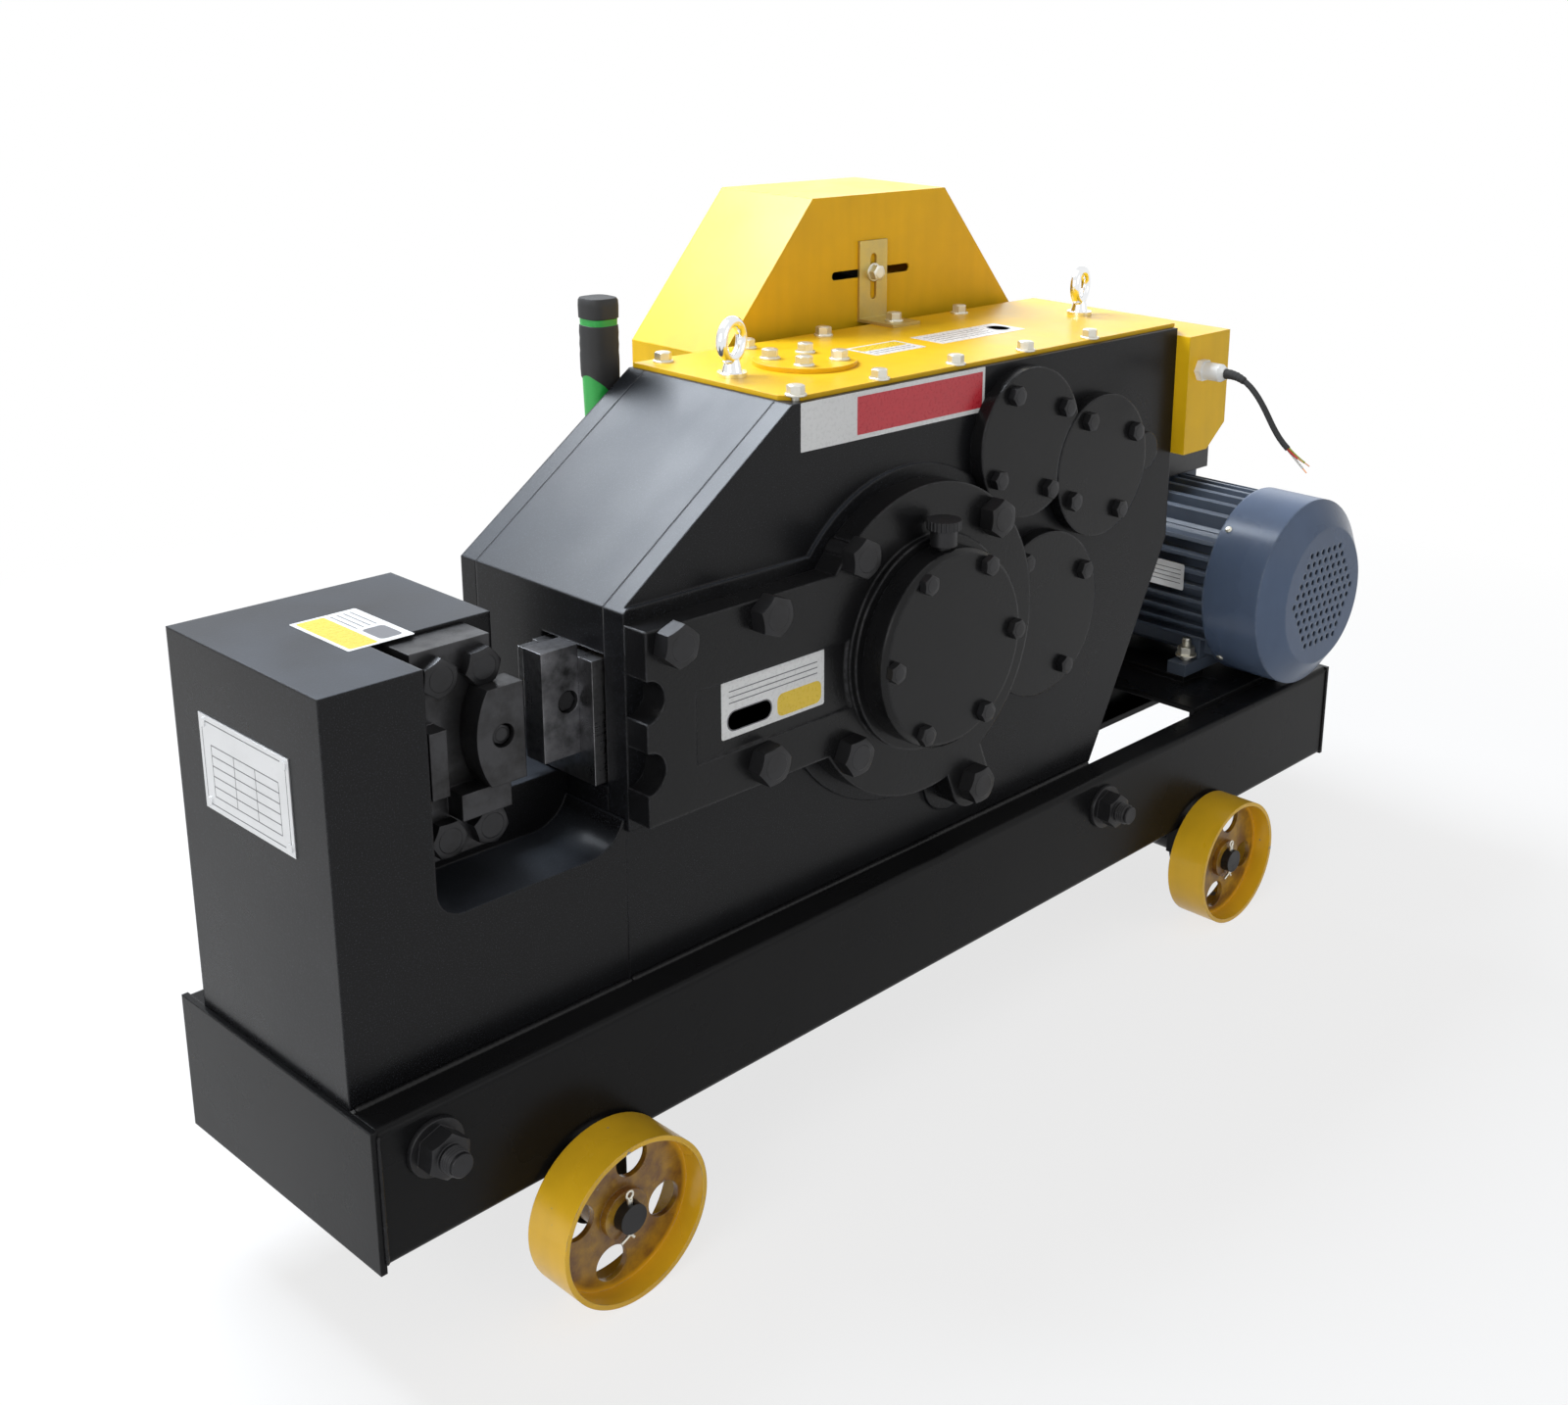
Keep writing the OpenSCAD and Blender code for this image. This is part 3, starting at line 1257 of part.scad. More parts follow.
module motor_fan() color("#2b2b2d") place() {
    y0 = frame_y0 - fan_shield_t - 42;
    ring_y(motor_p, 26, motor_shaft_r + fit, y0, y0 + 34);
    for (i = [0 : 7]) translate([motor_x, 0, motor_z]) rotate([0, i * 45, 0])
        block([24, y0 + 4, -1.5], [84, y0 + 30, 1.5]);
}

// Pressed fan cover: a barrel, a bevel, and a face pierced with small round holes
module fan_cover() color("#7d8794") place() difference() {
    r = fan_cover_d / 2;
    t = 2;
    face_r = 78;
    pitch = 12;
    y1 = frame_y0 - 3;
    turned_y(motor_p) polygon([[0, fan_face_y], [face_r, fan_face_y], [r, fan_cover_y0], [r, y1],
        [r - t, y1], [r - t, fan_cover_y0 + 1], [face_r - 1, fan_face_y + t], [0, fan_face_y + t]]);
    translate([motor_x, 0, motor_z]) plate_y(fan_face_y - 1, fan_face_y + t + 1)
        for (i = [-6 : 6], j = [-6 : 6])
            let (q = pitch * [i + j / 2, j * sqrt(3) / 2])
            if (norm(q) < 62) translate(q) circle(3.2, $fn = 16);
}

// ---------- Clutch lever ----------

lever_p = [box_x0 + 159, crank_z + 113];
lever_shaft_r = 12;
lever_y = body_y1 + 20;
lever_rod_r = 8;
lever_l = 167;

// Shaft through the rear wall, with a finger over the ram inside and a hub and rod outside
module clutch_lever() color("#2a2a2c") place() {
    bar_y(lever_p, lever_shaft_r, ram_mid, lever_y + 10);
    block([lever_p[0] - 8, ram_mid, lever_p[1] - 28], [lever_p[0] + 8, ram_mid + 26, lever_p[1]]);
    bar_y(lever_p, 20, body_y1 + 0.5, lever_y + 14);
    translate([lever_p[0], lever_y, lever_p[1]]) cylinder(r = lever_rod_r, h = lever_l - 12);
}

module lever_grip() color("#3aa845") place() translate([lever_p[0], lever_y, lever_p[1] + 34]) {
    difference() {
        cylinder(r = 15, h = lever_l - 34);
        translate([0, 0, -1]) cylinder(r = lever_rod_r + fit, h = lever_l - 44);
    }
}

base_channels();
base_plates();
axles();
wheel_front_left();
wheel_front_right();
wheel_rear_left();
wheel_rear_right();
axle_washers();
tie_rods();
cutter_post();
front_wall();
rear_wall();
gearbox_shell();
name_plate();
blade_holder();
fixed_blade();
blade_bolts();
moving_blade();
ram_bolt();
ram();
ram_bed();
ram_liners();
con_rod();
crankshaft();
crank_gear();
pinion_shaft_3();
gear_3();
pinion_shaft_2();
gear_2();
pinion_shaft_1();
bearings();
flywheel();
v_belts();
motor_pulley();
side_cover();
bearing_covers();
cover_bolts();
grease_cup();
grease_cap();
top_plate();
inspection_cover();
top_bolts();
eye_bolts();
belt_guard();
guard_bracket();
switch_box();
start_button();
stop_button();
cable_gland();
power_cable();
motor_frame();
motor_fins();
motor_stator();
terminal_box();
motor_bolts();
motor_shaft();
motor_fan();
fan_cover();
clutch_lever();
lever_grip();
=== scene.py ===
"""Looks of an electric reinforcing-bar cutter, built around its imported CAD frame.

Each sub-assembly is a class that holds its sizes, builds its added pieces and dresses the CAD
nodes that stay. All places are in the maker's own millimetres and become metres in Frame.at.
"""

import logging
import math
import random
from dataclasses import dataclass, field
from enum import Enum

import bmesh
import bpy
from mathutils import Matrix, Vector

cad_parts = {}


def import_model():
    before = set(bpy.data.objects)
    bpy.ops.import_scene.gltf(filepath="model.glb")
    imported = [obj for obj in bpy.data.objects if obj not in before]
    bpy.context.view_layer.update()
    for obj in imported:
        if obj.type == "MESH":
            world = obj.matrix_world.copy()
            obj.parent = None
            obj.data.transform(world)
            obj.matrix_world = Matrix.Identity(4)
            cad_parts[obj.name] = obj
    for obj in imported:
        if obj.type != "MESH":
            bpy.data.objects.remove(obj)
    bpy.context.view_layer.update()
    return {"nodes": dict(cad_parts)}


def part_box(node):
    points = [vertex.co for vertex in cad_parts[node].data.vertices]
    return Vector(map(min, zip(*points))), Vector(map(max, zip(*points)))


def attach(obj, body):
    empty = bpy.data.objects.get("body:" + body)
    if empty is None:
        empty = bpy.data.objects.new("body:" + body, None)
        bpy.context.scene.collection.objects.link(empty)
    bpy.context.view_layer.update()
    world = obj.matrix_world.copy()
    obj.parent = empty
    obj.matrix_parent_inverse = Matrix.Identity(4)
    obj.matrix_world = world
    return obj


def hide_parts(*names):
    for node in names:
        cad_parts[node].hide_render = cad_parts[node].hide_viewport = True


LOG = logging.getLogger("bar_cutter")
MM = 0.001
Colour = tuple[float, float, float]
Point = tuple[float, float, float]


# ---------- Places and meshes ----------


@dataclass(frozen=True)
class Frame:
    """The maker's drawing frame: left end of the base, its front web's face and its underside."""

    origin: Vector

    @classmethod
    def from_nodes(cls) -> "Frame":
        """Reads the frame's place from the base channels, which start 5 mm from its left end."""
        low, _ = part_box("base_channels")
        return cls(Vector((low.x - 5 * MM, low.y, low.z)))

    def at(self, x: float, y: float, z: float) -> Vector:
        """Gives a drawing point, in millimetres, as a point in metres."""
        return self.origin + Vector((x, y, z)) * MM


@dataclass
class Solid:
    """One of a node's solids: the corners of its box."""

    low: Vector
    high: Vector

    @property
    def middle(self) -> Vector:
        """The middle of the box."""
        return (self.low + self.high) / 2

    @property
    def size(self) -> Vector:
        """The box's three lengths."""
        return self.high - self.low


def node_solids(nodes: dict[str, bpy.types.Object], name: str) -> list[Solid]:
    """Splits a CAD node's mesh into its separate solids.

    Args:
        nodes: the CAD nodes by name.
        name: the node to split.

    Returns:
        The box of each solid, from left to right.
    """
    mesh = bmesh.new()
    mesh.from_mesh(nodes[name].data)
    bmesh.ops.remove_doubles(mesh, verts=mesh.verts, dist=1e-6)
    left, solids = set(mesh.verts), []
    while left:
        front, reached = [left.pop()], []
        while front:
            vert = front.pop()
            reached.append(vert.co.copy())
            for edge in vert.link_edges:
                other = edge.other_vert(vert)
                if other in left:
                    left.remove(other)
                    front.append(other)
        solids.append(Solid(
            Vector(min(co[i] for co in reached) for i in range(3)),
            Vector(max(co[i] for co in reached) for i in range(3)),
        ))
    mesh.free()
    return sorted(solids, key=lambda s: (round(s.middle.x, 4), round(s.middle.y, 4), s.middle.z))


class Facing(Enum):
    """The way a turned or pressed piece points."""

    FRONT = (0.0, -1.0, 0.0)
    REAR = (0.0, 1.0, 0.0)
    LEFT = (-1.0, 0.0, 0.0)
    RIGHT = (1.0, 0.0, 0.0)
    UP = (0.0, 0.0, 1.0)

    def turn(self) -> Matrix:
        """The turn that takes +Z to this direction and keeps +Y upright where it can.

        Returns:
            The turn as a matrix.
        """
        out = Vector(self.value)
        upright = Vector((0, 1, 0)) if self is Facing.UP else Vector((0, 0, 1))
        side = upright.cross(out)
        return Matrix((side, upright, out)).transposed().to_4x4()


class Mesher:
    """Collects faces of one piece and turns them into an object."""

    def __init__(self) -> None:
        """Starts an empty mesh."""
        self.mesh = bmesh.new()

    def ring(self, points: list[Vector]) -> list[bmesh.types.BMVert]:
        """Adds one ring of corners."""
        return [self.mesh.verts.new(p) for p in points]

    def bridge(self, a: list, b: list, slot: int = 0) -> None:
        """Joins two rings of equal count with quads.

        Args:
            a: corners of the first ring.
            b: corners of the second ring.
            slot: material slot of the faces.
        """
        n = len(a)
        for i in range(n):
            face = self.mesh.faces.new((a[i], a[(i + 1) % n], b[(i + 1) % n], b[i]))
            face.material_index = slot

    def cap(self, ring: list, slot: int = 0) -> None:
        """Closes a ring with one face."""
        self.mesh.faces.new(ring).material_index = slot

    def stack(self, rings: list[list[Vector]], slot: int = 0, closed: bool = True) -> None:
        """Joins rings one after the other.

        Args:
            rings: corner places, ring by ring.
            slot: material slot of the faces.
            closed: whether both ends get a cap.
        """
        made = [self.ring(r) for r in rings]
        for a, b in zip(made, made[1:]):
            self.bridge(a, b, slot)
        if closed:
            self.cap(made[0][::-1], slot)
            self.cap(made[-1], slot)

    def lathe(self, place: Matrix, profile: list[tuple[float, float]], sides: int = 48,
              slot: int = 0) -> None:
        """Turns a closed profile about the place's Z axis.

        Args:
            place: where the profile's axis stands.
            profile: radius and height of each corner, in metres, with both ends capped.
            sides: corners round the axis.
            slot: material slot of the faces.
        """
        self.stack([[place @ Vector((r * math.cos(math.tau * i / sides),
                                     r * math.sin(math.tau * i / sides), z))
                     for i in range(sides)] for r, z in profile], slot)

    def ringed(self, place: Matrix, profile: list[tuple[float, float]], sides: int = 48,
               slot: int = 0) -> None:
        """Turns a profile that closes on itself, for a piece with a bore.

        Args:
            place: where the profile's axis stands.
            profile: radius and height of each corner, in metres.
            sides: corners round the axis.
            slot: material slot of the faces.
        """
        made = [self.ring([place @ Vector((r * math.cos(math.tau * i / sides),
                                           r * math.sin(math.tau * i / sides), z))
                           for i in range(sides)]) for r, z in profile]
        for a, b in zip(made, made[1:] + made[:1]):
            self.bridge(a, b, slot)

    def slab(self, place: Matrix, width: float, height: float, depth: float, radius: float,
             slot: int = 0, soft: float = 0.0) -> None:
        """Adds a plate with rounded corners, its back on the place's XY plane.

        Args:
            place: middle of the plate's back.
            width: size along X.
            height: size along Y.
            depth: size along Z.
            radius: radius of the four corners.
            slot: material slot of the faces.
            soft: how far the front's rim is rolled in.
        """
        def outline(shrink: float, z: float) -> list[Vector]:
            """Corners of one rounded outline.

            Args:
                shrink: how far it lies inside the plate's edge.
                z: its height above the plate's back.

            Returns:
                The corners in order.
            """
            r = max(radius - shrink, 1e-5)
            half = (width / 2 - shrink - r, height / 2 - shrink - r)
            signs = ((1, 1), (-1, 1), (-1, -1), (1, -1))
            return [place @ Vector((
                sx * half[0] + r * math.cos(math.tau * (q + k / 5) / 4),
                sy * half[1] + r * math.sin(math.tau * (q + k / 5) / 4), z))
                for q, (sx, sy) in enumerate(signs) for k in range(6)]
        rings = [outline(0, 0), outline(0, depth - soft)]
        if soft:
            rings += [outline(soft * 0.3, depth - soft * 0.3), outline(soft, depth)]
        self.stack(rings, slot)

    def tube(self, path: list[Vector], radii: list[float], sides: int = 10, slot: int = 0) -> None:
        """Sweeps a round tube along a path, with one radius for each point.

        Args:
            path: points along the middle.
            radii: radius at each point.
            sides: corners round the tube.
            slot: material slot of the faces.
        """
        rings, side = [], None
        for i, point in enumerate(path):
            along = (path[min(i + 1, len(path) - 1)] - path[max(i - 1, 0)]).normalized()
            if side is None:
                side = along.orthogonal().normalized()
            side = (side - along * side.dot(along)).normalized()
            other = along.cross(side)
            rings.append([point + radii[i] * (math.cos(math.tau * k / sides) * side
                                              + math.sin(math.tau * k / sides) * other)
                          for k in range(sides)])
        self.stack(rings, slot)

    def finish(self, name: str, body: str, materials: list[bpy.types.Material],
               slot: str | None = None, crease: float = 32.0) -> bpy.types.Object:
        """Makes the object, lets it ride on a body and gives it its finish.

        Args:
            name: the piece's name.
            body: the CAD body it moves with.
            materials: one for each material slot used.
            slot: a material slot name; not used.
            crease: angle in degrees above which an edge stays sharp.

        Returns:
            The finished object.
        """
        bmesh.ops.recalc_face_normals(self.mesh, faces=self.mesh.faces)
        data = bpy.data.meshes.new(name)
        self.mesh.to_mesh(data)
        self.mesh.free()
        for polygon in data.polygons:
            polygon.use_smooth = True
        data.set_sharp_from_angle(angle=math.radians(crease))
        piece = bpy.data.objects.new(name, data)
        bpy.context.scene.collection.objects.link(piece)
        for material in materials:
            data.materials.append(material)
        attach(piece, body)
        LOG.info("made %s: %d faces on %s", name, len(data.polygons), body)
        return piece


# ---------- Shader graphs ----------


class Graph:
    """Short calls for the nodes of one shader tree."""

    def __init__(self, tree: bpy.types.NodeTree) -> None:
        """Takes the tree that the calls add to."""
        self.tree = tree

    def add(self, kind: str, **settings: object) -> bpy.types.Node:
        """Adds a node and sets its own properties.

        Args:
            kind: the node's type.
            settings: its properties by name.

        Returns:
            The new node.
        """
        node = self.tree.nodes.new(kind)
        for key, value in settings.items():
            setattr(node, key, value)
        return node

    def put(self, socket: bpy.types.NodeSocket, value: object) -> None:
        """Links a socket to another, or sets its value.

        Args:
            socket: the input to feed.
            value: a socket to link, or a plain value.
        """
        if isinstance(value, bpy.types.NodeSocket):
            self.tree.links.new(value, socket)
        elif isinstance(value, tuple) and len(value) == 3 and socket.type == "RGBA":
            socket.default_value = (*value, 1.0)
        else:
            socket.default_value = value

    def math(self, operation: str, a: object, b: object = 0.0, clamp: bool = False) -> bpy.types.NodeSocket:
        """One arithmetic step.

        Args:
            operation: name of the step.
            a: first number.
            b: second number.
            clamp: whether the result is held from 0 to 1.

        Returns:
            The result's socket.
        """
        node = self.add("ShaderNodeMath", operation=operation, use_clamp=clamp)
        self.put(node.inputs[0], a)
        self.put(node.inputs[1], b)
        return node.outputs[0]

    def mix(self, factor: object, a: object, b: object) -> bpy.types.NodeSocket:
        """Mixes two colours.

        Args:
            factor: share of the second colour.
            a: first colour.
            b: second colour.

        Returns:
            The mixed colour's socket.
        """
        node = self.add("ShaderNodeMix", data_type="RGBA")
        self.put(node.inputs[0], factor)
        self.put(node.inputs[6], a)
        self.put(node.inputs[7], b)
        return node.outputs[2]

    def range(self, value: object, low: float, high: float, to_low: float = 0.0,
              to_high: float = 1.0) -> bpy.types.NodeSocket:
        """Maps a value from one span to another, and holds it inside.

        Args:
            value: the number to map.
            low: start of the first span.
            high: end of the first span.
            to_low: start of the second span.
            to_high: end of the second span.

        Returns:
            The result's socket.
        """
        node = self.add("ShaderNodeMapRange")
        for socket, number in zip(node.inputs, (value, low, high, to_low, to_high)):
            self.put(socket, number)
        return node.outputs[0]

    def place(self, stretch: Point = (1.0, 1.0, 1.0)) -> bpy.types.NodeSocket:
        """The object's own coordinates, stretched along its axes.

        Args:
            stretch: factor along each axis.

        Returns:
            The coordinates' socket.
        """
        coords = self.add("ShaderNodeTexCoord")
        mapping = self.add("ShaderNodeMapping")
        self.put(mapping.inputs["Vector"], coords.outputs["Object"])
        mapping.inputs["Scale"].default_value = stretch
        return mapping.outputs[0]

    def noise(self, where: object, scale: float, detail: float = 3.0,
              rough: float = 0.5) -> bpy.types.NodeSocket:
        """Cloudy noise, given in features per metre.

        Args:
            where: coordinates.
            scale: features per metre.
            detail: number of finer layers.
            rough: strength of the finer layers.

        Returns:
            The noise's socket.
        """
        node = self.add("ShaderNodeTexNoise")
        self.put(node.inputs["Vector"], where)
        for key, value in (("Scale", scale), ("Detail", detail), ("Roughness", rough)):
            self.put(node.inputs[key], value)
        return node.outputs[0]

    def cells(self, where: object, scale: float) -> bpy.types.NodeSocket:
        """Distance to the nearest of scattered points.

        Args:
            where: coordinates.
            scale: cells per metre.

        Returns:
            The distance's socket.
        """
        node = self.add("ShaderNodeTexVoronoi")
        self.put(node.inputs["Vector"], where)
        self.put(node.inputs["Scale"], scale)
        return node.outputs["Distance"]

    def facing_up(self) -> bpy.types.NodeSocket:
        """How far the surface looks up, from 0 to 1.

        Returns:
            The share's socket.
        """
        split = self.add("ShaderNodeSeparateXYZ")
        self.put(split.inputs[0], self.add("ShaderNodeNewGeometry").outputs["Normal"])
        return self.range(split.outputs[2], 0.55, 0.98)


class Effect:
    """A shader node group with named inputs and outputs, built once."""

    name = "effect"
    inputs: tuple[tuple[str, str, object], ...] = ()
    outputs: tuple[tuple[str, str], ...] = ()

    @classmethod
    def tree(cls) -> bpy.types.NodeTree:
        """The group's tree, made on first use.

        Returns:
            The shared tree.
        """
        found = bpy.data.node_groups.get(cls.name)
        if found:
            return found
        tree = bpy.data.node_groups.new(cls.name, "ShaderNodeTree")
        for label, kind, value in cls.inputs:
            socket = tree.interface.new_socket(name=label, in_out="INPUT", socket_type=f"NodeSocket{kind}")
            socket.default_value = (*value, 1.0) if isinstance(value, tuple) else value
        for label, kind in cls.outputs:
            tree.interface.new_socket(name=label, in_out="OUTPUT", socket_type=f"NodeSocket{kind}")
        graph = Graph(tree)
        given = graph.add("NodeGroupInput").outputs
        result = graph.add("NodeGroupOutput").inputs
        for label, value in cls.build(graph, given).items():
            graph.put(result[label], value)
        return tree

    @classmethod
    def build(cls, graph: Graph, given: bpy.types.bpy_prop_collection) -> dict[str, object]:
        """Makes the nodes and returns what goes to each output."""
        raise NotImplementedError

    @classmethod
    def use(cls, graph: Graph, **values: object) -> bpy.types.bpy_prop_collection:
        """Places the group in a material with its own values, and returns its outputs.

        Args:
            graph: the material's tree.
            values: the group's inputs by name.

        Returns:
            The group's outputs.
        """
        node = graph.add("ShaderNodeGroup")
        node.node_tree = cls.tree()
        for label, value in values.items():
            graph.put(node.inputs[label.replace("_", " ").capitalize()], value)
        return node.outputs


class RoundedEdges(Effect):
    """Normals that run round sharp edges, and a mask of those edges."""

    name = "rounded_edges"
    inputs = (("Radius", "Float", 0.001),)
    outputs = (("Normal", "Vector"), ("Edge", "Float"))

    @classmethod
    def build(cls, graph: Graph, given: bpy.types.bpy_prop_collection) -> dict[str, object]:
        """Compares the rounded normal with the plain one.

        Args:
            graph: the tree that the nodes go into.
            given: the group's own inputs by name.

        Returns:
            The value of each output.
        """
        bevel = graph.add("ShaderNodeBevel", samples=6)
        graph.put(bevel.inputs["Radius"], given["Radius"])
        dot = graph.add("ShaderNodeVectorMath", operation="DOT_PRODUCT")
        graph.put(dot.inputs[0], bevel.outputs[0])
        graph.put(dot.inputs[1], graph.add("ShaderNodeNewGeometry").outputs["Normal"])
        away = graph.math("SUBTRACT", 1.0, dot.outputs["Value"])
        return {"Normal": bevel.outputs[0], "Edge": graph.range(away, 0.02, 0.22)}


class PaintFilm(Effect):
    """Sprayed paint: orange peel, faint clouding, a dusting on what faces up that is partly a painted sheen, and
    edges lightened partly by wear and partly by a painted highlight.
    """

    name = "paint_film"
    inputs = (("Colour", "Color", (0.5, 0.5, 0.5)), ("Dust colour", "Color", (0.5, 0.5, 0.5)),
              ("Dust", "Float", 0.1), ("Gloss", "Float", 0.3), ("Edge", "Float", 0.0),
              ("Edge colour", "Color", (0.5, 0.5, 0.5)))
    outputs = (("Colour", "Color"), ("Roughness", "Float"), ("Height", "Float"))

    @classmethod
    def build(cls, graph: Graph, given: bpy.types.bpy_prop_collection) -> dict[str, object]:
        """Layers clouds, a dusting on what faces up that is partly a painted sheen, and edges lightened partly by
        wear and partly by a painted highlight over the colour.

        Args:
            graph: the tree that the nodes go into.
            given: the group's own inputs by name.

        Returns:
            The value of each output.
        """
        where = graph.place()
        clouds = graph.noise(where, 7.0, 4.0, 0.55)
        peel = graph.noise(where, 330.0, 2.0)
        specks = graph.range(graph.noise(where, 900.0, 2.0, 0.7), 0.56, 0.78)
        streaks = graph.noise(graph.place((1.0, 1.0, 0.12)), 60.0, 3.0)
        shade = graph.range(graph.math("ADD", clouds, graph.math("MULTIPLY", streaks, 0.35)),
                            0.45, 0.9, 0.0, 1.0)
        hsv = graph.add("ShaderNodeHueSaturation")
        graph.put(hsv.inputs["Color"], given["Colour"])
        graph.put(hsv.inputs["Value"], graph.range(shade, 0.0, 1.0, 0.9, 1.12))
        # What faces up is mixed towards a lighter colour: partly a dusting, partly a painted sheen.
        upward_dust_and_sheen = graph.math("MULTIPLY", graph.facing_up(), graph.range(clouds, 0.35, 0.7, 0.35, 1.0))
        dust_and_sheen_mask = graph.math("MULTIPLY", graph.math("ADD", graph.math("MULTIPLY", upward_dust_and_sheen, 0.55),
                                                  graph.math("MULTIPLY", specks, 0.45)),
                           given["Dust"], clamp=True)
        dust_and_sheen_mixed = graph.mix(dust_and_sheen_mask, hsv.outputs[0], given["Dust colour"])
        # Edges are mixed towards a lighter colour: partly worn paint, partly a painted highlight.
        edge_wear_and_highlight = graph.math("MULTIPLY", given["Edge"], graph.range(graph.noise(where, 160.0, 4.0, 0.7),
                                                                 0.35, 0.62), clamp=True)
        colour = graph.mix(edge_wear_and_highlight, dust_and_sheen_mixed, given["Edge colour"])
        rough = graph.math("ADD", given["Gloss"], graph.math("ADD", graph.math(
            "MULTIPLY", dust_and_sheen_mask, 0.5), graph.range(clouds, 0.3, 0.7, -0.05, 0.06)), clamp=True)
        return {"Colour": colour, "Roughness": rough, "Height": graph.math(
            "ADD", graph.math("MULTIPLY", peel, 0.8), graph.math("MULTIPLY", specks, 0.2))}


class PaintChips(Effect):
    """Chipped and rubbed paint: a mask of bare spots, densest along edges."""

    name = "paint_chips"
    inputs = (("Amount", "Float", 0.3), ("Edge", "Float", 0.0))
    outputs = (("Bare", "Float"), ("Rust", "Float"))

    @classmethod
    def build(cls, graph: Graph, given: bpy.types.bpy_prop_collection) -> dict[str, object]:
        """Cuts warped cells with a noise that grows towards the edges.

        Args:
            graph: the tree that the nodes go into.
            given: the group's own inputs by name.

        Returns:
            The value of each output.
        """
        where = graph.place()
        warp = graph.noise(where, 140.0, 5.0, 0.65)
        cell = graph.math("ADD", graph.cells(where, 55.0), graph.math("MULTIPLY", warp, 0.35))
        patch = graph.noise(where, 22.0, 3.0, 0.6)
        limit = graph.math("ADD", graph.math("MULTIPLY", graph.range(patch, 0.45, 0.75), given["Amount"]),
                           graph.math("MULTIPLY", given["Edge"], 0.42))
        bare = graph.range(graph.math("SUBTRACT", graph.math("ADD", limit, 0.16), cell), 0.0, 0.05)
        return {"Bare": bare, "Rust": graph.math("MULTIPLY", bare, graph.range(warp, 0.5, 0.62))}


class ToolMarks(Effect):
    """Fine parallel marks of a cutter or a grinding wheel, with oily clouding."""

    name = "tool_marks"
    inputs = (("Colour", "Color", (0.5, 0.5, 0.5)), ("Stain colour", "Color", (0.1, 0.09, 0.08)),
              ("Stain", "Float", 0.3), ("Gloss", "Float", 0.3))
    outputs = (("Colour", "Color"), ("Roughness", "Float"), ("Height", "Float"))

    @classmethod
    def build(cls, graph: Graph, given: bpy.types.bpy_prop_collection) -> dict[str, object]:
        """Stretches noise into lines and clouds it.

        Args:
            graph: the tree that the nodes go into.
            given: the group's own inputs by name.

        Returns:
            The value of each output.
        """
        lines = graph.noise(graph.place((1.0, 1.0, 0.04)), 1500.0, 2.0, 0.6)
        turned = graph.noise(graph.place((0.05, 1.0, 1.0)), 900.0, 2.0, 0.6)
        clouds = graph.noise(graph.place(), 35.0, 4.0, 0.6)
        stain = graph.math("MULTIPLY", graph.range(clouds, 0.42, 0.68), given["Stain"], clamp=True)
        both = graph.math("MULTIPLY", graph.math("ADD", lines, turned), 0.5)
        colour = graph.mix(stain, given["Colour"], given["Stain colour"])
        rough = graph.math("ADD", given["Gloss"], graph.math(
            "ADD", graph.range(both, 0.3, 0.7, -0.07, 0.09), graph.math("MULTIPLY", stain, 0.25)), clamp=True)
        return {"Colour": colour, "Roughness": rough, "Height": both}


class CastSkin(Effect):
    """The grain of a sand casting or of moulded rubber, with dark hollows."""

    name = "cast_skin"
    inputs = (("Colour", "Color", (0.2, 0.2, 0.2)), ("Dark colour", "Color", (0.05, 0.05, 0.05)),
              ("Grain", "Float", 500.0), ("Gloss", "Float", 0.6))
    outputs = (("Colour", "Color"), ("Roughness", "Float"), ("Height", "Float"))

    @classmethod
    def build(cls, graph: Graph, given: bpy.types.bpy_prop_collection) -> dict[str, object]:
        """Mixes a fine grain and broad clouds.

        Args:
            graph: the tree that the nodes go into.
            given: the group's own inputs by name.

        Returns:
            The value of each output.
        """
        where = graph.place()
        grain = graph.noise(where, given["Grain"], 3.0, 0.6)
        clouds = graph.noise(where, 18.0, 3.0)
        colour = graph.mix(graph.range(graph.math("ADD", grain, clouds), 0.7, 1.3, 1.0, 0.0),
                           given["Colour"], given["Dark colour"])
        rough = graph.math("ADD", given["Gloss"], graph.range(grain, 0.3, 0.7, -0.08, 0.08), clamp=True)
        return {"Colour": colour, "Roughness": rough, "Height": grain}


# ---------- Finishes ----------


@dataclass(frozen=True)
class Finish:
    """A finish: its colour and gloss, and how round its edges look."""

    name: str
    colour: Colour
    gloss: float = 0.35
    radius: float = 0.0012
    depth: float = 0.00008

    def start(self) -> tuple[bpy.types.Material, Graph, bpy.types.Node]:
        """Makes an empty material with its Principled shader.

        Returns:
            The material, its tree and its shader.
        """
        material = bpy.data.materials.new(self.name)
        material.use_nodes = True
        graph = Graph(material.node_tree)
        shader = material.node_tree.nodes["Principled BSDF"]
        material.diffuse_color = (*self.colour, 1.0)
        return material, graph, shader

    def relief(self, graph: Graph, shader: bpy.types.Node, height: object, normal: object) -> None:
        """Feeds the shader's normal from a height over rounded edges.

        Args:
            graph: the material's tree.
            shader: the material's Principled shader.
            height: the height's socket.
            normal: the rounded normal's socket.
        """
        bump = graph.add("ShaderNodeBump")
        bump.inputs["Distance"].default_value = self.depth
        graph.put(bump.inputs["Height"], height)
        graph.put(bump.inputs["Normal"], normal)
        graph.put(shader.inputs["Normal"], bump.outputs[0])

    def material(self) -> bpy.types.Material:
        """The finish as a material, made on first use.

        Returns:
            The shared material.
        """
        found = bpy.data.materials.get(self.name)
        if found:
            return found
        material, graph, shader = self.start()
        self.layers(graph, shader)
        return material

    def layers(self, graph: Graph, shader: bpy.types.Node) -> None:
        """Adds the finish's own layers."""
        raise NotImplementedError


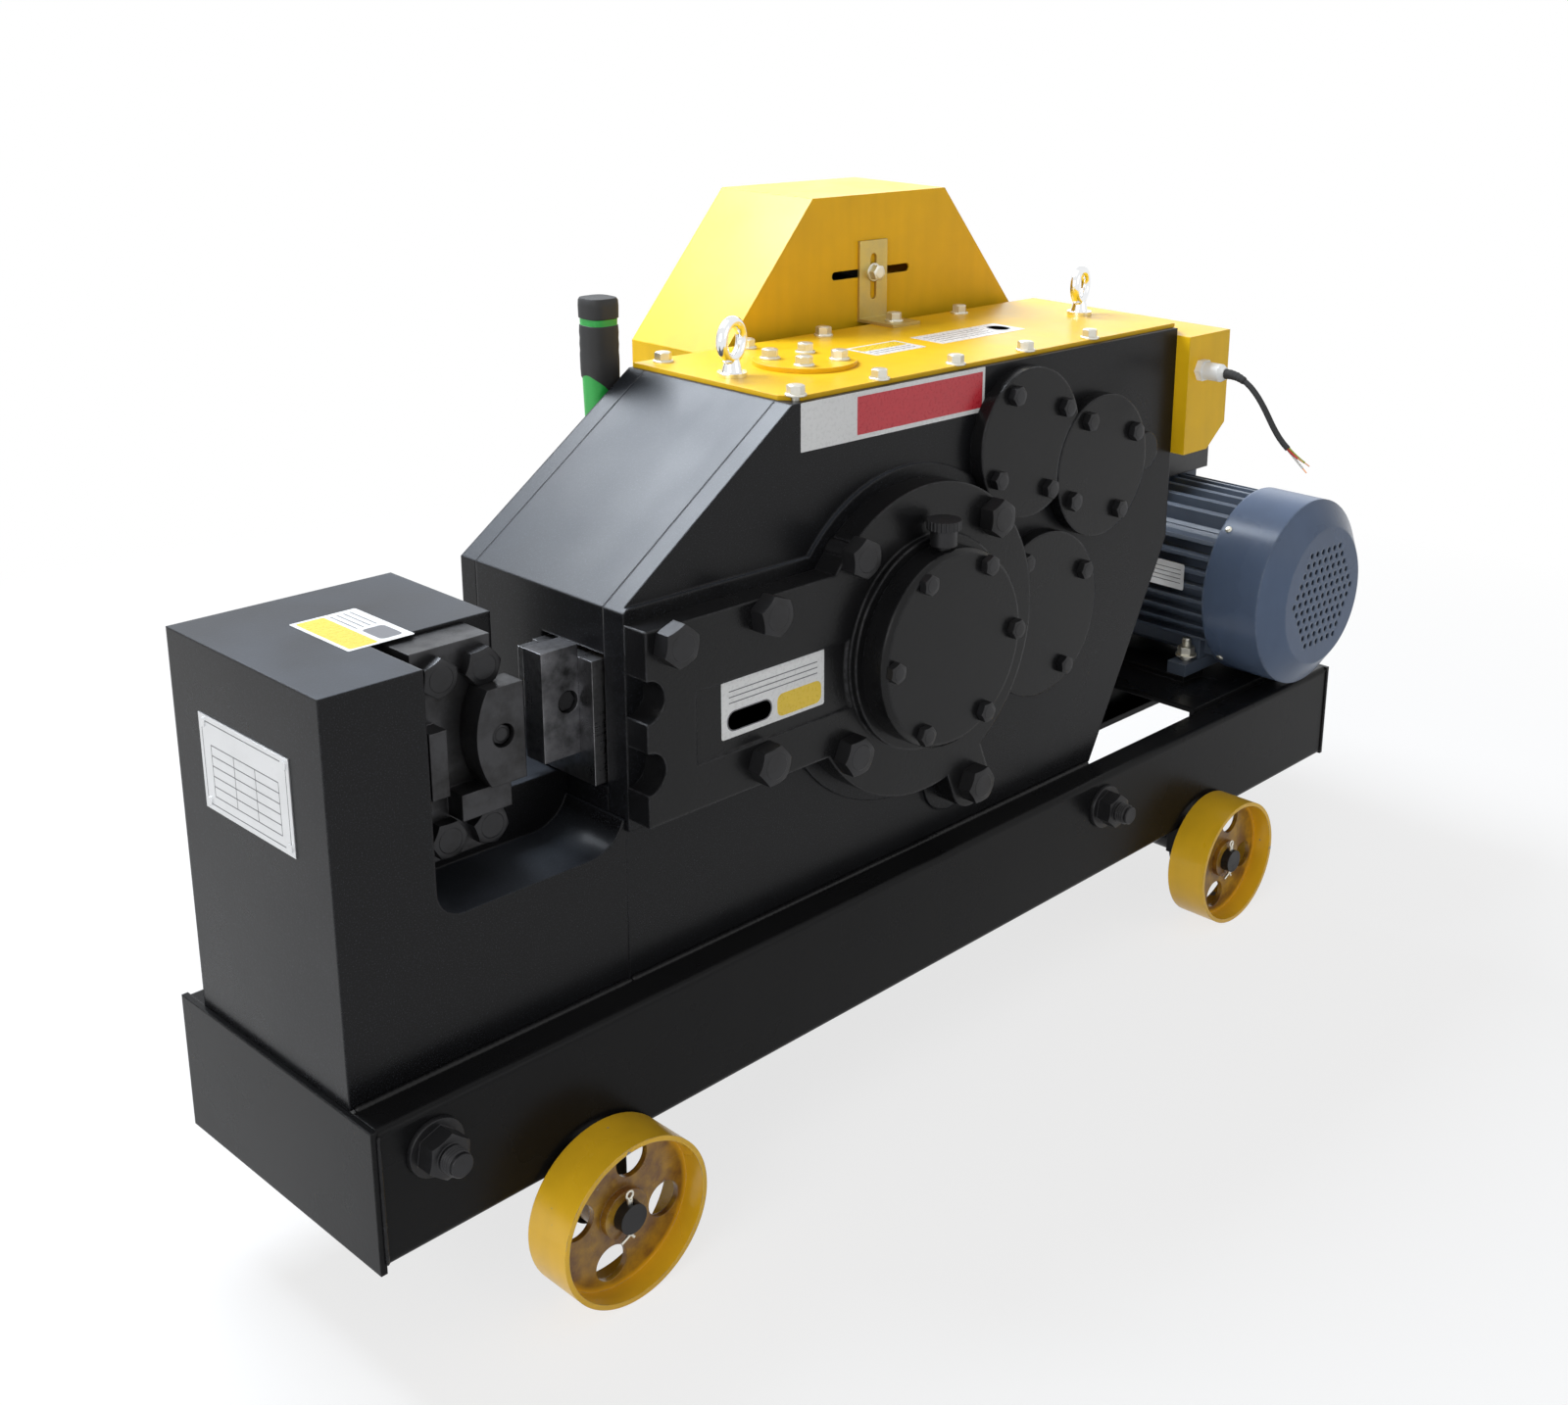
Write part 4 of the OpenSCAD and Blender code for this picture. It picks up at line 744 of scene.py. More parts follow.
@dataclass(frozen=True)
class Paint(Finish):
    """Sprayed enamel, with a dusting on top that is partly a painted sheen, and edges lightened partly by wear and
    partly by a painted highlight; chips bare its steel.
    """

    # The colour mixed into what faces up is partly a dusting, partly a painted sheen.
    dust: float = 0.25
    dust_colour: Colour = (0.30, 0.29, 0.27)
    # The lighter colour on the edges is partly worn paint, partly a painted highlight.
    edge_colour: Colour = (0.16, 0.16, 0.17)
    chips: float = 0.0
    specular: float = 0.5

    def layers(self, graph: Graph, shader: bpy.types.Node) -> None:
        """Puts film, edges and chips together.

        Args:
            graph: the material's tree.
            shader: the material's Principled shader.
        """
        edges = RoundedEdges.use(graph, radius=self.radius)
        film = PaintFilm.use(graph, colour=self.colour, dust_colour=self.dust_colour, dust=self.dust,
                             gloss=self.gloss, edge=edges["Edge"], edge_colour=self.edge_colour)
        colour, rough, height = film["Colour"], film["Roughness"], film["Height"]
        colour = self.dirt(graph, colour)
        if self.chips:
            spots = PaintChips.use(graph, amount=self.chips, edge=edges["Edge"])
            steel = graph.mix(spots["Rust"], (0.30, 0.29, 0.28), (0.17, 0.08, 0.04))
            colour = graph.mix(spots["Bare"], colour, steel)
            rough = graph.math("ADD", rough, graph.math("MULTIPLY", spots["Bare"], 0.15), clamp=True)
            height = graph.math("SUBTRACT", height, graph.math("MULTIPLY", spots["Bare"], 2.0))
        graph.put(shader.inputs["Base Color"], colour)
        graph.put(shader.inputs["Roughness"], rough)
        shader.inputs["Specular IOR Level"].default_value = self.specular
        self.relief(graph, shader, height, edges["Normal"])

    def dirt(self, graph: Graph, colour: bpy.types.NodeSocket) -> bpy.types.NodeSocket:
        """Leaves the colour as it is; a finish with a colour change of its own adds it here."""
        return colour


@dataclass(frozen=True)
class WheelPaint(Paint):
    """Wheel enamel whose web, inside the rim, is mixed with a darker brown in patches."""

    middle: float = -0.04775
    reach: float = 0.408
    height: float = 0.067
    rim: float = 0.062
    brown: Colour = (0.20, 0.092, 0.022)

    def dirt(self, graph: Graph, colour: bpy.types.NodeSocket) -> bpy.types.NodeSocket:
        """Mixes the brown in by the distance from the nearer axle.

        Args:
            graph: the material's tree.
            colour: the plain colour's socket.

        Returns:
            The browned colour's socket.
        """
        split = graph.add("ShaderNodeSeparateXYZ")
        graph.put(split.inputs[0], graph.place())
        offset = graph.math("SUBTRACT", split.outputs[0], self.middle)
        along = graph.math("SUBTRACT", graph.math("ABSOLUTE", offset), self.reach)
        up = graph.math("SUBTRACT", split.outputs[2], self.height)
        radius = graph.math("SQRT", graph.math("ADD", graph.math("MULTIPLY", along, along),
                                               graph.math("MULTIPLY", up, up)))
        patchy = graph.range(graph.noise(graph.place(), 45.0, 4.0, 0.6), 0.30, 0.62, 0.45, 1.0)
        inside = graph.math("MULTIPLY", graph.range(radius, self.rim, self.rim - 0.004), patchy)
        return graph.mix(inside, colour, self.brown)


@dataclass(frozen=True)
class Metal(Finish):
    """Bare, plated or blackened metal with tool marks and oil stains."""

    stain: float = 0.3
    stain_colour: Colour = (0.08, 0.07, 0.06)
    metallic: float = 1.0

    def layers(self, graph: Graph, shader: bpy.types.Node) -> None:
        """Puts marks and edges together.

        Args:
            graph: the material's tree.
            shader: the material's Principled shader.
        """
        edges = RoundedEdges.use(graph, radius=self.radius)
        marks = ToolMarks.use(graph, colour=self.colour, stain=self.stain,
                              stain_colour=self.stain_colour, gloss=self.gloss)
        graph.put(shader.inputs["Base Color"], marks["Colour"])
        graph.put(shader.inputs["Roughness"], marks["Roughness"])
        shader.inputs["Metallic"].default_value = self.metallic
        self.relief(graph, shader, marks["Height"], edges["Normal"])


@dataclass(frozen=True)
class Cast(Finish):
    """Cast iron, rubber or moulded plastic, with grain in its surface."""

    dark: Colour = (0.02, 0.02, 0.02)
    grain: float = 500.0
    metallic: float = 0.0
    specular: float = 0.5

    def layers(self, graph: Graph, shader: bpy.types.Node) -> None:
        """Puts grain and edges together.

        Args:
            graph: the material's tree.
            shader: the material's Principled shader.
        """
        edges = RoundedEdges.use(graph, radius=self.radius)
        skin = CastSkin.use(graph, colour=self.colour, dark_colour=self.dark, grain=self.grain,
                            gloss=self.gloss)
        graph.put(shader.inputs["Base Color"], skin["Colour"])
        graph.put(shader.inputs["Roughness"], skin["Roughness"])
        shader.inputs["Metallic"].default_value = self.metallic
        shader.inputs["Specular IOR Level"].default_value = self.specular
        self.relief(graph, shader, skin["Height"], edges["Normal"])


# Each paint's lighter colour on its edges is partly worn paint, partly a painted highlight.
# On the black enamel the bluish colour mixed into what faces up is partly a dusting, partly a painted sheen.
BLACK_ENAMEL = Paint("black_enamel", (0.0060, 0.0060, 0.0068), 0.29, 0.0026, 0.00005, dust=0.30,
                     dust_colour=(0.27, 0.31, 0.38), edge_colour=(0.030, 0.030, 0.034), specular=0.17)
SKID_ENAMEL = Paint("skid_enamel", (0.0070, 0.0070, 0.0075), 0.28, 0.0022, 0.00006, dust=0.05,
                    dust_colour=(0.10, 0.10, 0.10), edge_colour=(0.030, 0.030, 0.030), specular=0.10)
CAST_ENAMEL = Paint("cast_enamel", (0.0075, 0.0075, 0.0080), 0.25, 0.0034, 0.00016, dust=0.05,
                    dust_colour=(0.09, 0.09, 0.10), edge_colour=(0.045, 0.045, 0.050), specular=0.20)
YELLOW_ENAMEL = Paint("yellow_enamel", (0.87, 0.515, 0.008), 0.36, 0.0012, 0.00004, dust=0.04,
                      dust_colour=(0.66, 0.54, 0.22), edge_colour=(0.92, 0.64, 0.10), specular=0.26)
WHEEL_ENAMEL = WheelPaint("wheel_enamel", (0.86, 0.50, 0.016), 0.30, 0.0010, 0.00006, dust=0.04,
                          dust_colour=(0.55, 0.42, 0.18), edge_colour=(0.88, 0.60, 0.12), chips=0.30)
MOTOR_ENAMEL = Paint("motor_enamel", (0.105, 0.130, 0.175), 0.34, 0.0012, 0.00012, dust=0.08,
                     dust_colour=(0.30, 0.32, 0.34), edge_colour=(0.26, 0.29, 0.34), specular=0.25)
COVER_ENAMEL = Paint("cover_enamel", (0.098, 0.136, 0.215), 0.28, 0.0040, 0.00006, dust=0.06,
                     dust_colour=(0.30, 0.33, 0.38), edge_colour=(0.24, 0.29, 0.37), specular=0.20)
BLACKED_STEEL = Metal("blacked_steel", (0.022, 0.022, 0.024), 0.36, 0.0009, 0.00003, stain=0.5,
                      stain_colour=(0.010, 0.009, 0.008), metallic=0.55)
GROUND_STEEL = Metal("ground_steel", (0.30, 0.30, 0.31), 0.28, 0.0008, 0.00003, stain=0.75,
                     stain_colour=(0.035, 0.034, 0.034))
DARK_STEEL = Metal("dark_steel", (0.050, 0.050, 0.053), 0.33, 0.0014, 0.00005, stain=0.7,
                   stain_colour=(0.014, 0.013, 0.012), metallic=0.8)
WORN_BLADE = Metal("worn_blade", (0.17, 0.17, 0.18), 0.30, 0.0010, 0.00004, stain=0.95,
                   stain_colour=(0.010, 0.010, 0.010), metallic=0.85)
BRIGHT_STEEL = Metal("bright_steel", (0.62, 0.62, 0.63), 0.24, 0.0006, 0.00003, stain=0.2,
                     stain_colour=(0.20, 0.17, 0.13))
GEAR_STEEL = Metal("gear_steel", (0.36, 0.36, 0.37), 0.27, 0.0005, 0.00003, stain=0.5,
                   stain_colour=(0.11, 0.08, 0.04))
ZINC = Metal("zinc_plate", (0.72, 0.71, 0.64), 0.33, 0.0005, 0.00002, stain=0.3,
             stain_colour=(0.50, 0.45, 0.33), metallic=0.9)
OLIVE_ZINC = Metal("olive_zinc", (0.56, 0.43, 0.13), 0.36, 0.0006, 0.00003, stain=0.5,
                   stain_colour=(0.42, 0.36, 0.20), metallic=0.8)
CHROME = Metal("bright_chrome", (0.86, 0.87, 0.88), 0.09, 0.0006, 0.00001, stain=0.08,
               stain_colour=(0.45, 0.43, 0.40))
BRONZE = Metal("oiled_bronze", (0.60, 0.38, 0.16), 0.30, 0.0005, 0.00003, stain=0.3)
PLATE = Metal("brushed_plate", (0.74, 0.75, 0.76), 0.34, 0.0003, 0.00001, stain=0.15,
              stain_colour=(0.50, 0.50, 0.50), metallic=0.85)
IRON = Cast("turned_iron", (0.085, 0.085, 0.09), 0.50, 0.0015, 0.00015, grain=420.0, metallic=0.6)
BELT_RUBBER = Cast("belt_rubber", (0.022, 0.022, 0.022), 0.72, 0.0006, 0.00008, (0.012, 0.012, 0.012), 900.0)
CABLE_RUBBER = Cast("cable_rubber", (0.020, 0.020, 0.021), 0.42, 0.0004, 0.00003,
                    (0.012, 0.012, 0.012), 1500.0)
GRIP_BLACK = Cast("grip_black", (0.020, 0.020, 0.021), 0.62, 0.0010, 0.00012, (0.012, 0.012, 0.012), 1300.0)
GRIP_GREEN = Cast("grip_green", (0.030, 0.46, 0.075), 0.38, 0.0008, 0.00004, (0.022, 0.36, 0.055), 900.0)
GREEN_CAP = Cast("green_cap", (0.03, 0.33, 0.08), 0.25, 0.0008, 0.00002, (0.02, 0.27, 0.06), 700.0)
RED_CAP = Cast("red_cap", (0.55, 0.02, 0.015), 0.25, 0.0008, 0.00002, (0.46, 0.015, 0.012), 700.0)
WHITE_PLASTIC = Cast("white_plastic", (0.78, 0.78, 0.76), 0.38, 0.0009, 0.00003, (0.70, 0.70, 0.68), 800.0)
BLACK_PLASTIC = Cast("black_plastic", (0.018, 0.018, 0.019), 0.45, 0.0010, 0.00008,
                     (0.012, 0.012, 0.012), 900.0)
BOX_BLACK = Cast("terminal_black", (0.016, 0.016, 0.018), 0.40, 0.0022, 0.00012, (0.010, 0.010, 0.011), 600.0)
WHITE_FILM = Cast("white_film", (0.80, 0.80, 0.79), 0.30, 0.0002, 0.00001, (0.74, 0.74, 0.73), 300.0)
RED_FILM = Cast("red_film", (0.60, 0.03, 0.045), 0.30, 0.0002, 0.00001, (0.54, 0.025, 0.04), 300.0)
YELLOW_FILM = Cast("yellow_film", (0.86, 0.60, 0.03), 0.30, 0.0002, 0.00001, (0.80, 0.55, 0.03), 300.0)
GREY_INK = Cast("grey_ink", (0.16, 0.16, 0.17), 0.45, 0.0002, 0.00001, (0.12, 0.12, 0.13), 700.0)
RED_CORE = Cast("red_core", (0.55, 0.03, 0.02), 0.35, 0.0003, 0.00001, (0.45, 0.02, 0.02), 900.0)
WHITE_CORE = Cast("white_core", (0.75, 0.75, 0.72), 0.35, 0.0003, 0.00001, (0.65, 0.65, 0.62), 900.0)
GREEN_CORE = Cast("green_core", (0.42, 0.52, 0.06), 0.35, 0.0003, 0.00001, (0.36, 0.44, 0.05), 900.0)
COPPER = Metal("bare_copper", (0.72, 0.34, 0.16), 0.30, 0.0002, 0.00001, stain=0.2)


# ---------- Fasteners ----------


@dataclass(frozen=True)
class Hexagon:
    """A hexagon head or nut with the chamfer of a turned bar, in metres."""

    flats: float
    height: float

    def rings(self, place: Matrix, z0: float) -> list[list[Vector]]:
        """The rings of the head, from its seat to its crown.

        Args:
            place: where the head's axis stands.
            z0: height of its seat.

        Returns:
            Corner places, ring by ring.
        """
        steps = 36
        half = self.flats / 2
        low, rim, crown = [], [], []
        for i in range(steps):
            angle = math.tau * i / steps
            turned = (angle + math.pi / 6) % (math.pi / 3) - math.pi / 6
            reach = half / math.cos(turned)
            drop = (reach - half) * 0.55
            spot = Vector((math.cos(angle + math.pi / 6), math.sin(angle + math.pi / 6), 0))
            low.append(place @ (spot * reach + Vector((0, 0, z0))))
            rim.append(place @ (spot * reach + Vector((0, 0, z0 + self.height - drop - 0.0002))))
            crown.append(place @ (spot * half * 0.94 + Vector((0, 0, z0 + self.height))))
        return [low, rim, crown]


class Fastener:
    """Bolts, washers, nuts and threads, added to one mesh."""

    def __init__(self) -> None:
        """Starts an empty mesh."""
        self.mesher = Mesher()

    def bolt(self, seat: Vector, facing: Facing, flats: float, head: float, washer: float = 0.0,
             thick: float = 0.002, turn: float = 0.0) -> None:
        """A bolt's head on its seat.

        Args:
            seat: middle of the face that it is screwed against.
            facing: the way the head points.
            flats: size across the flats.
            head: height of the head.
            washer: radius of a washer or flange under it, or 0 for none.
            thick: thickness of that washer.
            turn: angle that the hexagon is turned by.
        """
        place = Matrix.Translation(seat) @ facing.turn() @ Matrix.Rotation(turn, 4, "Z")
        base = 0.0
        if washer:
            self.mesher.lathe(place, [(washer, -0.0002), (washer, thick * 0.7), (washer - 0.0005, thick),
                                      (flats * 0.3, thick)], 32)
            base = thick - 0.0001
        self.mesher.stack(Hexagon(flats, head).rings(place, base))
        dish = flats * 0.36
        self.mesher.lathe(place, [(dish, base + head - 0.0004), (dish, base + head + 0.0003),
                                  (dish - 0.0006, base + head + 0.0003)], 24)

    def thread(self, start: Vector, facing: Facing, radius: float, length: float, pitch: float) -> None:
        """A threaded end with a chamfered tip.

        Args:
            start: middle of its root.
            facing: the way it points.
            radius: outer radius.
            length: its length.
            pitch: distance between crests.
        """
        place = Matrix.Translation(start) @ facing.turn()
        profile, z, depth = [(radius - pitch * 0.5, 0.0)], 0.0, pitch * 0.5
        while z + pitch < length - pitch:
            profile += [(radius, z + pitch * 0.35), (radius, z + pitch * 0.5),
                        (radius - depth, z + pitch * 0.95)]
            z += pitch
        profile += [(radius - depth, length - depth * 0.6), (radius - depth * 1.6, length)]
        self.mesher.lathe(place, profile, 32)


# ---------- Sub-assemblies ----------


@dataclass
class Assembly:
    """A group of nodes with what is added to them."""

    frame: Frame
    nodes: dict[str, bpy.types.Object]

    def dress(self, finish: Finish, *names: str) -> None:
        """Gives CAD nodes a finish.

        Args:
            finish: the finish to give.
            names: the CAD nodes that get it.
        """
        material = finish.material()
        for name in names:
            node = self.nodes[name]
            if not node.material_slots:
                node.data.materials.append(material)
            for slot in node.material_slots:
                slot.material = material
            LOG.info("dressed %s with %s", name, finish.name)

    def bead(self, name: str, path: list[Vector], radius: float, seed: int, body: str = "machine") -> None:
        """A weld bead of overlapping ripples along a path, painted over.

        Args:
            name: the piece's name.
            path: corners of its run.
            radius: its radius.
            seed: start of its random ripple.
            body: the CAD body it moves with.
        """
        draw = random.Random(seed)
        mesher = Mesher()
        for start, end in zip(path, path[1:]):
            count = max(4, int((end - start).length / 0.0016))
            points = [start.lerp(end, i / count) for i in range(count + 1)]
            radii = [radius * (0.9 + 0.10 * (i % 3 == 1) + draw.uniform(-0.07, 0.07))
                     for i in range(count + 1)]
            radii[0] = radii[-1] = radius * 0.5
            mesher.tube(points, radii, 8)
        mesher.finish(name, body, [CAST_ENAMEL.material()], "black_paint", 80)


@dataclass
class Skid(Assembly):
    """Channels, end plates, tie rods, axles and wheels."""

    def build(self) -> None:
        """Dresses the skid and adds nuts, threads, pins and beads."""
        self.dress(SKID_ENAMEL, "base_channels", "base_plates")
        self.dress(BLACKED_STEEL, "axles")
        self.dress(WHEEL_ENAMEL, "wheel_front_left", "wheel_front_right", "wheel_rear_left",
                   "wheel_rear_right")
        self.tie_rods()
        self.pins()
        at = self.frame.at
        for side, y in (("front", -0.6), ("rear", 260.6)):
            for end, x in (("left", 5.2), ("right", 1244.8)):
                self.bead(f"weld_end_{side}_{end}", [at(x, y, 3), at(x, y, 104)], 1.6 * MM,
                          hash_of(side + end))
        for name, x0, x1 in (("post", 8, 246), ("gearbox", 246, 828)):
            self.bead(f"weld_{name}_front", [at(x0, 32.2, 107.6), at(x1, 32.2, 107.6)],
                      3.3 * MM, hash_of(name))
            self.bead(f"weld_{name}_rear", [at(x0, 234.6, 108.4), at(x1, 234.6, 108.4)],
                      2.2 * MM, hash_of(name) + 1)

    def tie_rods(self) -> None:
        """Nuts, washers and threaded ends of the two rods across the skid."""
        made = Fastener()
        for solid in node_solids(self.nodes, "tie_rods"):
            if solid.size.y > 0.1:
                for facing, y in ((Facing.FRONT, solid.low.y), (Facing.REAR, solid.high.y)):
                    start = Vector((solid.middle.x, y - facing.value[1] * 18 * MM, solid.middle.z))
                    made.thread(start, facing, solid.size.x / 2, 18 * MM, 2.4 * MM)
                made.mesher.lathe(Matrix.Translation(Vector((solid.middle.x, solid.low.y + 17.5 * MM,
                                                            solid.middle.z))) @ Facing.REAR.turn(),
                                  [(solid.size.x / 2 - 1.2 * MM, 0),
                                   (solid.size.x / 2 - 1.2 * MM, solid.size.y - 35 * MM)], 32)
                continue
            facing = Facing.FRONT if solid.middle.y < self.frame.at(0, 130, 0).y else Facing.REAR
            seat = Vector((solid.middle.x, 0, solid.middle.z))
            seat.y = solid.high.y if facing is Facing.FRONT else solid.low.y
            made.bolt(seat, facing, 30 * MM, 16 * MM, 22 * MM, 4 * MM, 0.35)
        piece = made.mesher.finish("tie_rod_ends", "machine", [BLACKED_STEEL.material()], "black_steel")
        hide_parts("tie_rods")

    def pins(self) -> None:
        """Bent split pins at the axle ends; a washer gets its ring only as a solid of its own."""
        mesher = Mesher()
        for solid in node_solids(self.nodes, "axle_washers"):
            if solid.size.y < 4 * MM:
                r, t = solid.size.x / 2, solid.size.y
                place = Matrix.Translation(Vector((solid.middle.x, solid.low.y, solid.middle.z))) \
                    @ Facing.REAR.turn()
                mesher.ringed(place, [(12.1 * MM, 0), (r - 0.4 * MM, 0), (r, 0.4 * MM), (r, t - 0.4 * MM),
                                      (r - 0.4 * MM, t), (12.1 * MM, t)], 40)
                continue
            self.split_pin(mesher, solid)
        piece = mesher.finish("washers_and_pins", "machine", [ZINC.material()], "zinc")
        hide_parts("axle_washers")

    def split_pin(self, mesher: Mesher, solid: Solid) -> None:
        """One split pin: an eye above the axle and two legs that spread below it.

        Args:
            mesher: the mesh it goes into.
            solid: the box that the pin fills.
        """
        top = Vector((solid.middle.x, solid.middle.y, solid.high.z - 4 * MM))
        low = Vector((solid.middle.x, solid.middle.y, solid.low.z + 5 * MM))
        eye = [top + Vector((3.0 * MM * math.sin(a), 0, 3.2 * MM * (1 - math.cos(a))))
               for a in [math.tau * k / 16 for k in range(1, 16)]]
        mesher.tube([top + Vector((0.4 * MM, 0, -1 * MM))] + eye + [top + Vector((-0.4 * MM, 0, -1 * MM))],
                    [1.1 * MM] * 17, 8)
        mesher.tube([top, low], [2.3 * MM, 2.3 * MM], 12)
        for side, reach in ((-1, 9.0), (1, 3.0)):
            bend = [low + Vector((side * reach * MM * (k / 5) ** 1.4, 0, -5 * MM * k / 5 + 0.8 * MM))
                    for k in range(6)]
            mesher.tube(bend, [1.3 * MM] * 6, 8)


def hash_of(word: str) -> int:
    """A small number from a word, the same each run."""
    return sum(ord(c) * (i + 1) for i, c in enumerate(word))


@dataclass(frozen=True)
class Patch:
    """One printed field of a label: its box as shares of the label, and its ink."""

    box: tuple[float, float, float, float]
    ink: Finish
    radius: float = 0.001


@dataclass(frozen=True)
class Label:
    """A blank printed label or plate overlay, without any lettering."""

    name: str
    width: float
    height: float
    patches: tuple[Patch, ...]
    base: Finish = WHITE_FILM
    radius: float = 0.0015
    film: float = 0.00018

    def stick(self, place: Matrix, body: str, slot: str) -> bpy.types.Object:
        """Puts the label with its back on the place's XY plane.

        Args:
            place: middle of the label's back.
            body: the CAD body it moves with.
            slot: a material slot name, passed on to the mesher.

        Returns:
            The finished label.
        """
        mesher, inks = Mesher(), [self.base.material()]
        mesher.slab(place, self.width, self.height, self.film, self.radius)
        for patch in self.patches:
            material = patch.ink.material()
            if material not in inks:
                inks.append(material)
            x0, y0, x1, y1 = patch.box
            middle = Vector((((x0 + x1) / 2 - 0.5) * self.width, ((y0 + y1) / 2 - 0.5) * self.height,
                             self.film * 0.6))
            mesher.slab(place @ Matrix.Translation(middle), (x1 - x0) * self.width,
                        (y1 - y0) * self.height, self.film * 0.6, patch.radius, inks.index(material))
        return mesher.finish(self.name, body, inks, slot)


def lines(x0: float, x1: float, ys: list[float], thick: float, ink: Finish) -> tuple[Patch, ...]:
    """Thin ruled lines across a label, at the given heights."""
    return tuple(Patch((x0, y - thick / 2, x1, y + thick / 2), ink, 0.00005) for y in ys)


@dataclass
class Cutter(Assembly):
    """Post, blades, ram and name plate."""

    plate_size: tuple[float, float] = (0.120, 0.072)

    def build(self) -> None:
        """Dresses the cutter and adds bolt heads and plate rulings."""
        self.dress(BLACK_ENAMEL, "cutter_post")
        self.dress(DARK_STEEL, "blade_holder", "fixed_blade")
        self.dress(WORN_BLADE, "moving_blade")
        self.dress(GROUND_STEEL, "ram")
        self.dress(BLACKED_STEEL, "ram_bolt")
        self.dress(PLATE, "name_plate")
        self.dress(IRON, "ram_bed")
        self.dress(BRONZE, "ram_liners")
        self.bolts()
        self.plate_rulings()
        self.post_label()

    def bolts(self) -> None:
        """Heads of the holder's four bolts and the fixed blade's screw."""
        made = Fastener()
        for i, solid in enumerate(node_solids(self.nodes, "blade_bolts")):
            large = solid.size.z > 20 * MM
            head = 10 * MM if large else 7 * MM
            seat = Vector((solid.middle.x, solid.low.y + head, solid.middle.z))
            made.bolt(seat, Facing.FRONT, solid.size.z, head, turn=0.4 * i)
            shank = 7.9 * MM if large else 4.9 * MM
            made.mesher.lathe(Matrix.Translation(seat) @ Facing.REAR.turn(),
                              [(shank, 0.0001), (shank, solid.size.y - head)], 24)
        piece = made.mesher.finish("holder_bolts", "machine", [BLACKED_STEEL.material()], "black_steel")
        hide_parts("blade_bolts")

    def plate_rulings(self) -> None:
        """A frame and an empty ruled table on the name plate."""
        low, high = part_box("name_plate")
        width, height = self.plate_size
        middle = Vector((low.x + 0.001, (low.y + high.y) / 2, (low.z + high.z) / 2))
        rows = [0.16, 0.27, 0.38, 0.49, 0.60, 0.71]
        ruled = lines(0.12, 0.88, rows, 0.012, GREY_INK) + lines(0.06, 0.94, [0.055, 0.945], 0.012, GREY_INK)
        posts = tuple(Patch((x - 0.003, 0.16, x + 0.003, 0.71), GREY_INK, 0.00005)
                      for x in (0.12, 0.38, 0.62, 0.88))
        posts += tuple(Patch((x - 0.003, 0.055, x + 0.003, 0.945), GREY_INK, 0.00005) for x in (0.03, 0.97))
        label = Label("name_plate_rulings", width * 0.99, height * 0.98, ruled + posts, PLATE, 0.001, 0.0001)
        label.stick(Matrix.Translation(middle) @ Facing.LEFT.turn(), "machine", "plate_silver")

    def post_label(self) -> None:
        """The blank two-colour label on top of the post."""
        place = Matrix.Translation(self.frame.at(92, 138, 408)) @ Facing.UP.turn() \
            @ Matrix.Rotation(math.radians(90), 4, "Z")
        Label("post_label", 0.078, 0.052, (
            Patch((0.04, 0.52, 0.96, 0.94), YELLOW_FILM, 0.002),
            Patch((0.08, 0.10, 0.42, 0.44), GREY_INK, 0.004),
        ) + lines(0.48, 0.93, [0.14, 0.24, 0.34, 0.44], 0.022, GREY_INK)).stick(place, "machine", "black_paint")


@dataclass
class Gearbox(Assembly):
    """Walls, covers, gear train and the labels on its front."""

    def build(self) -> None:
        """Dresses the gearbox and adds bolt heads and labels."""
        self.dress(BLACK_ENAMEL, "front_wall", "rear_wall", "gearbox_shell")
        self.dress(CAST_ENAMEL, "side_cover", "bearing_covers")
        self.dress(BLACKED_STEEL, "grease_cup", "grease_cap")
        self.dress(GEAR_STEEL, "crank_gear", "gear_3", "gear_2", "pinion_shaft_3", "pinion_shaft_2",
                   "pinion_shaft_1")
        self.dress(BRIGHT_STEEL, "crankshaft", "con_rod", "bearings")
        self.bolts()
        self.labels()

    def bolts(self) -> None:
        """Heads and shanks of the bolts of all covers."""
        made = Fastener()
        draw = random.Random(7)
        for solid in node_solids(self.nodes, "cover_bolts"):
            large = solid.size.z > 20 * MM
            head = 15 * MM if large else 7 * MM
            seat = Vector((solid.middle.x, solid.low.y + head, solid.middle.z))
            made.bolt(seat, Facing.FRONT, solid.size.z, head, turn=draw.uniform(0, 1.05))
            shank = 9.9 * MM if large else 4.9 * MM
            made.mesher.lathe(Matrix.Translation(seat) @ Facing.REAR.turn(),
                              [(shank, 0.0001), (shank, solid.size.y - head)], 24)
        piece = made.mesher.finish("cover_bolt_heads", "machine", [BLACKED_STEEL.material()], "black_steel")
        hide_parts("cover_bolts")

    def labels(self) -> None:
        """The red and white strip on the wall, and the blank label in the cover's recess."""
        at = self.frame.at
        Label("front_strip", 0.223, 0.040, (
            Patch((0.285, 0.10, 0.985, 0.90), RED_FILM, 0.0006),
        ), WHITE_FILM, 0.0008).stick(
            Matrix.Translation(at(540.5, 34, 518)) @ Facing.FRONT.turn(), "machine", "black_paint")
        Label("recess_label", 0.110, 0.048, (
            Patch((0.53, 0.06, 0.97, 0.46), YELLOW_FILM, 0.006),
            Patch((0.05, 0.10, 0.48, 0.46), GREY_INK, 0.008),
            Patch((0.06, 0.12, 0.47, 0.44), WHITE_FILM, 0.0075),
        ) + lines(0.07, 0.93, [0.60, 0.70, 0.80], 0.018, GREY_INK), WHITE_FILM, 0.002).stick(
            Matrix.Translation(at(374, 7, 317)) @ Facing.FRONT.turn(), "machine", "black_paint")


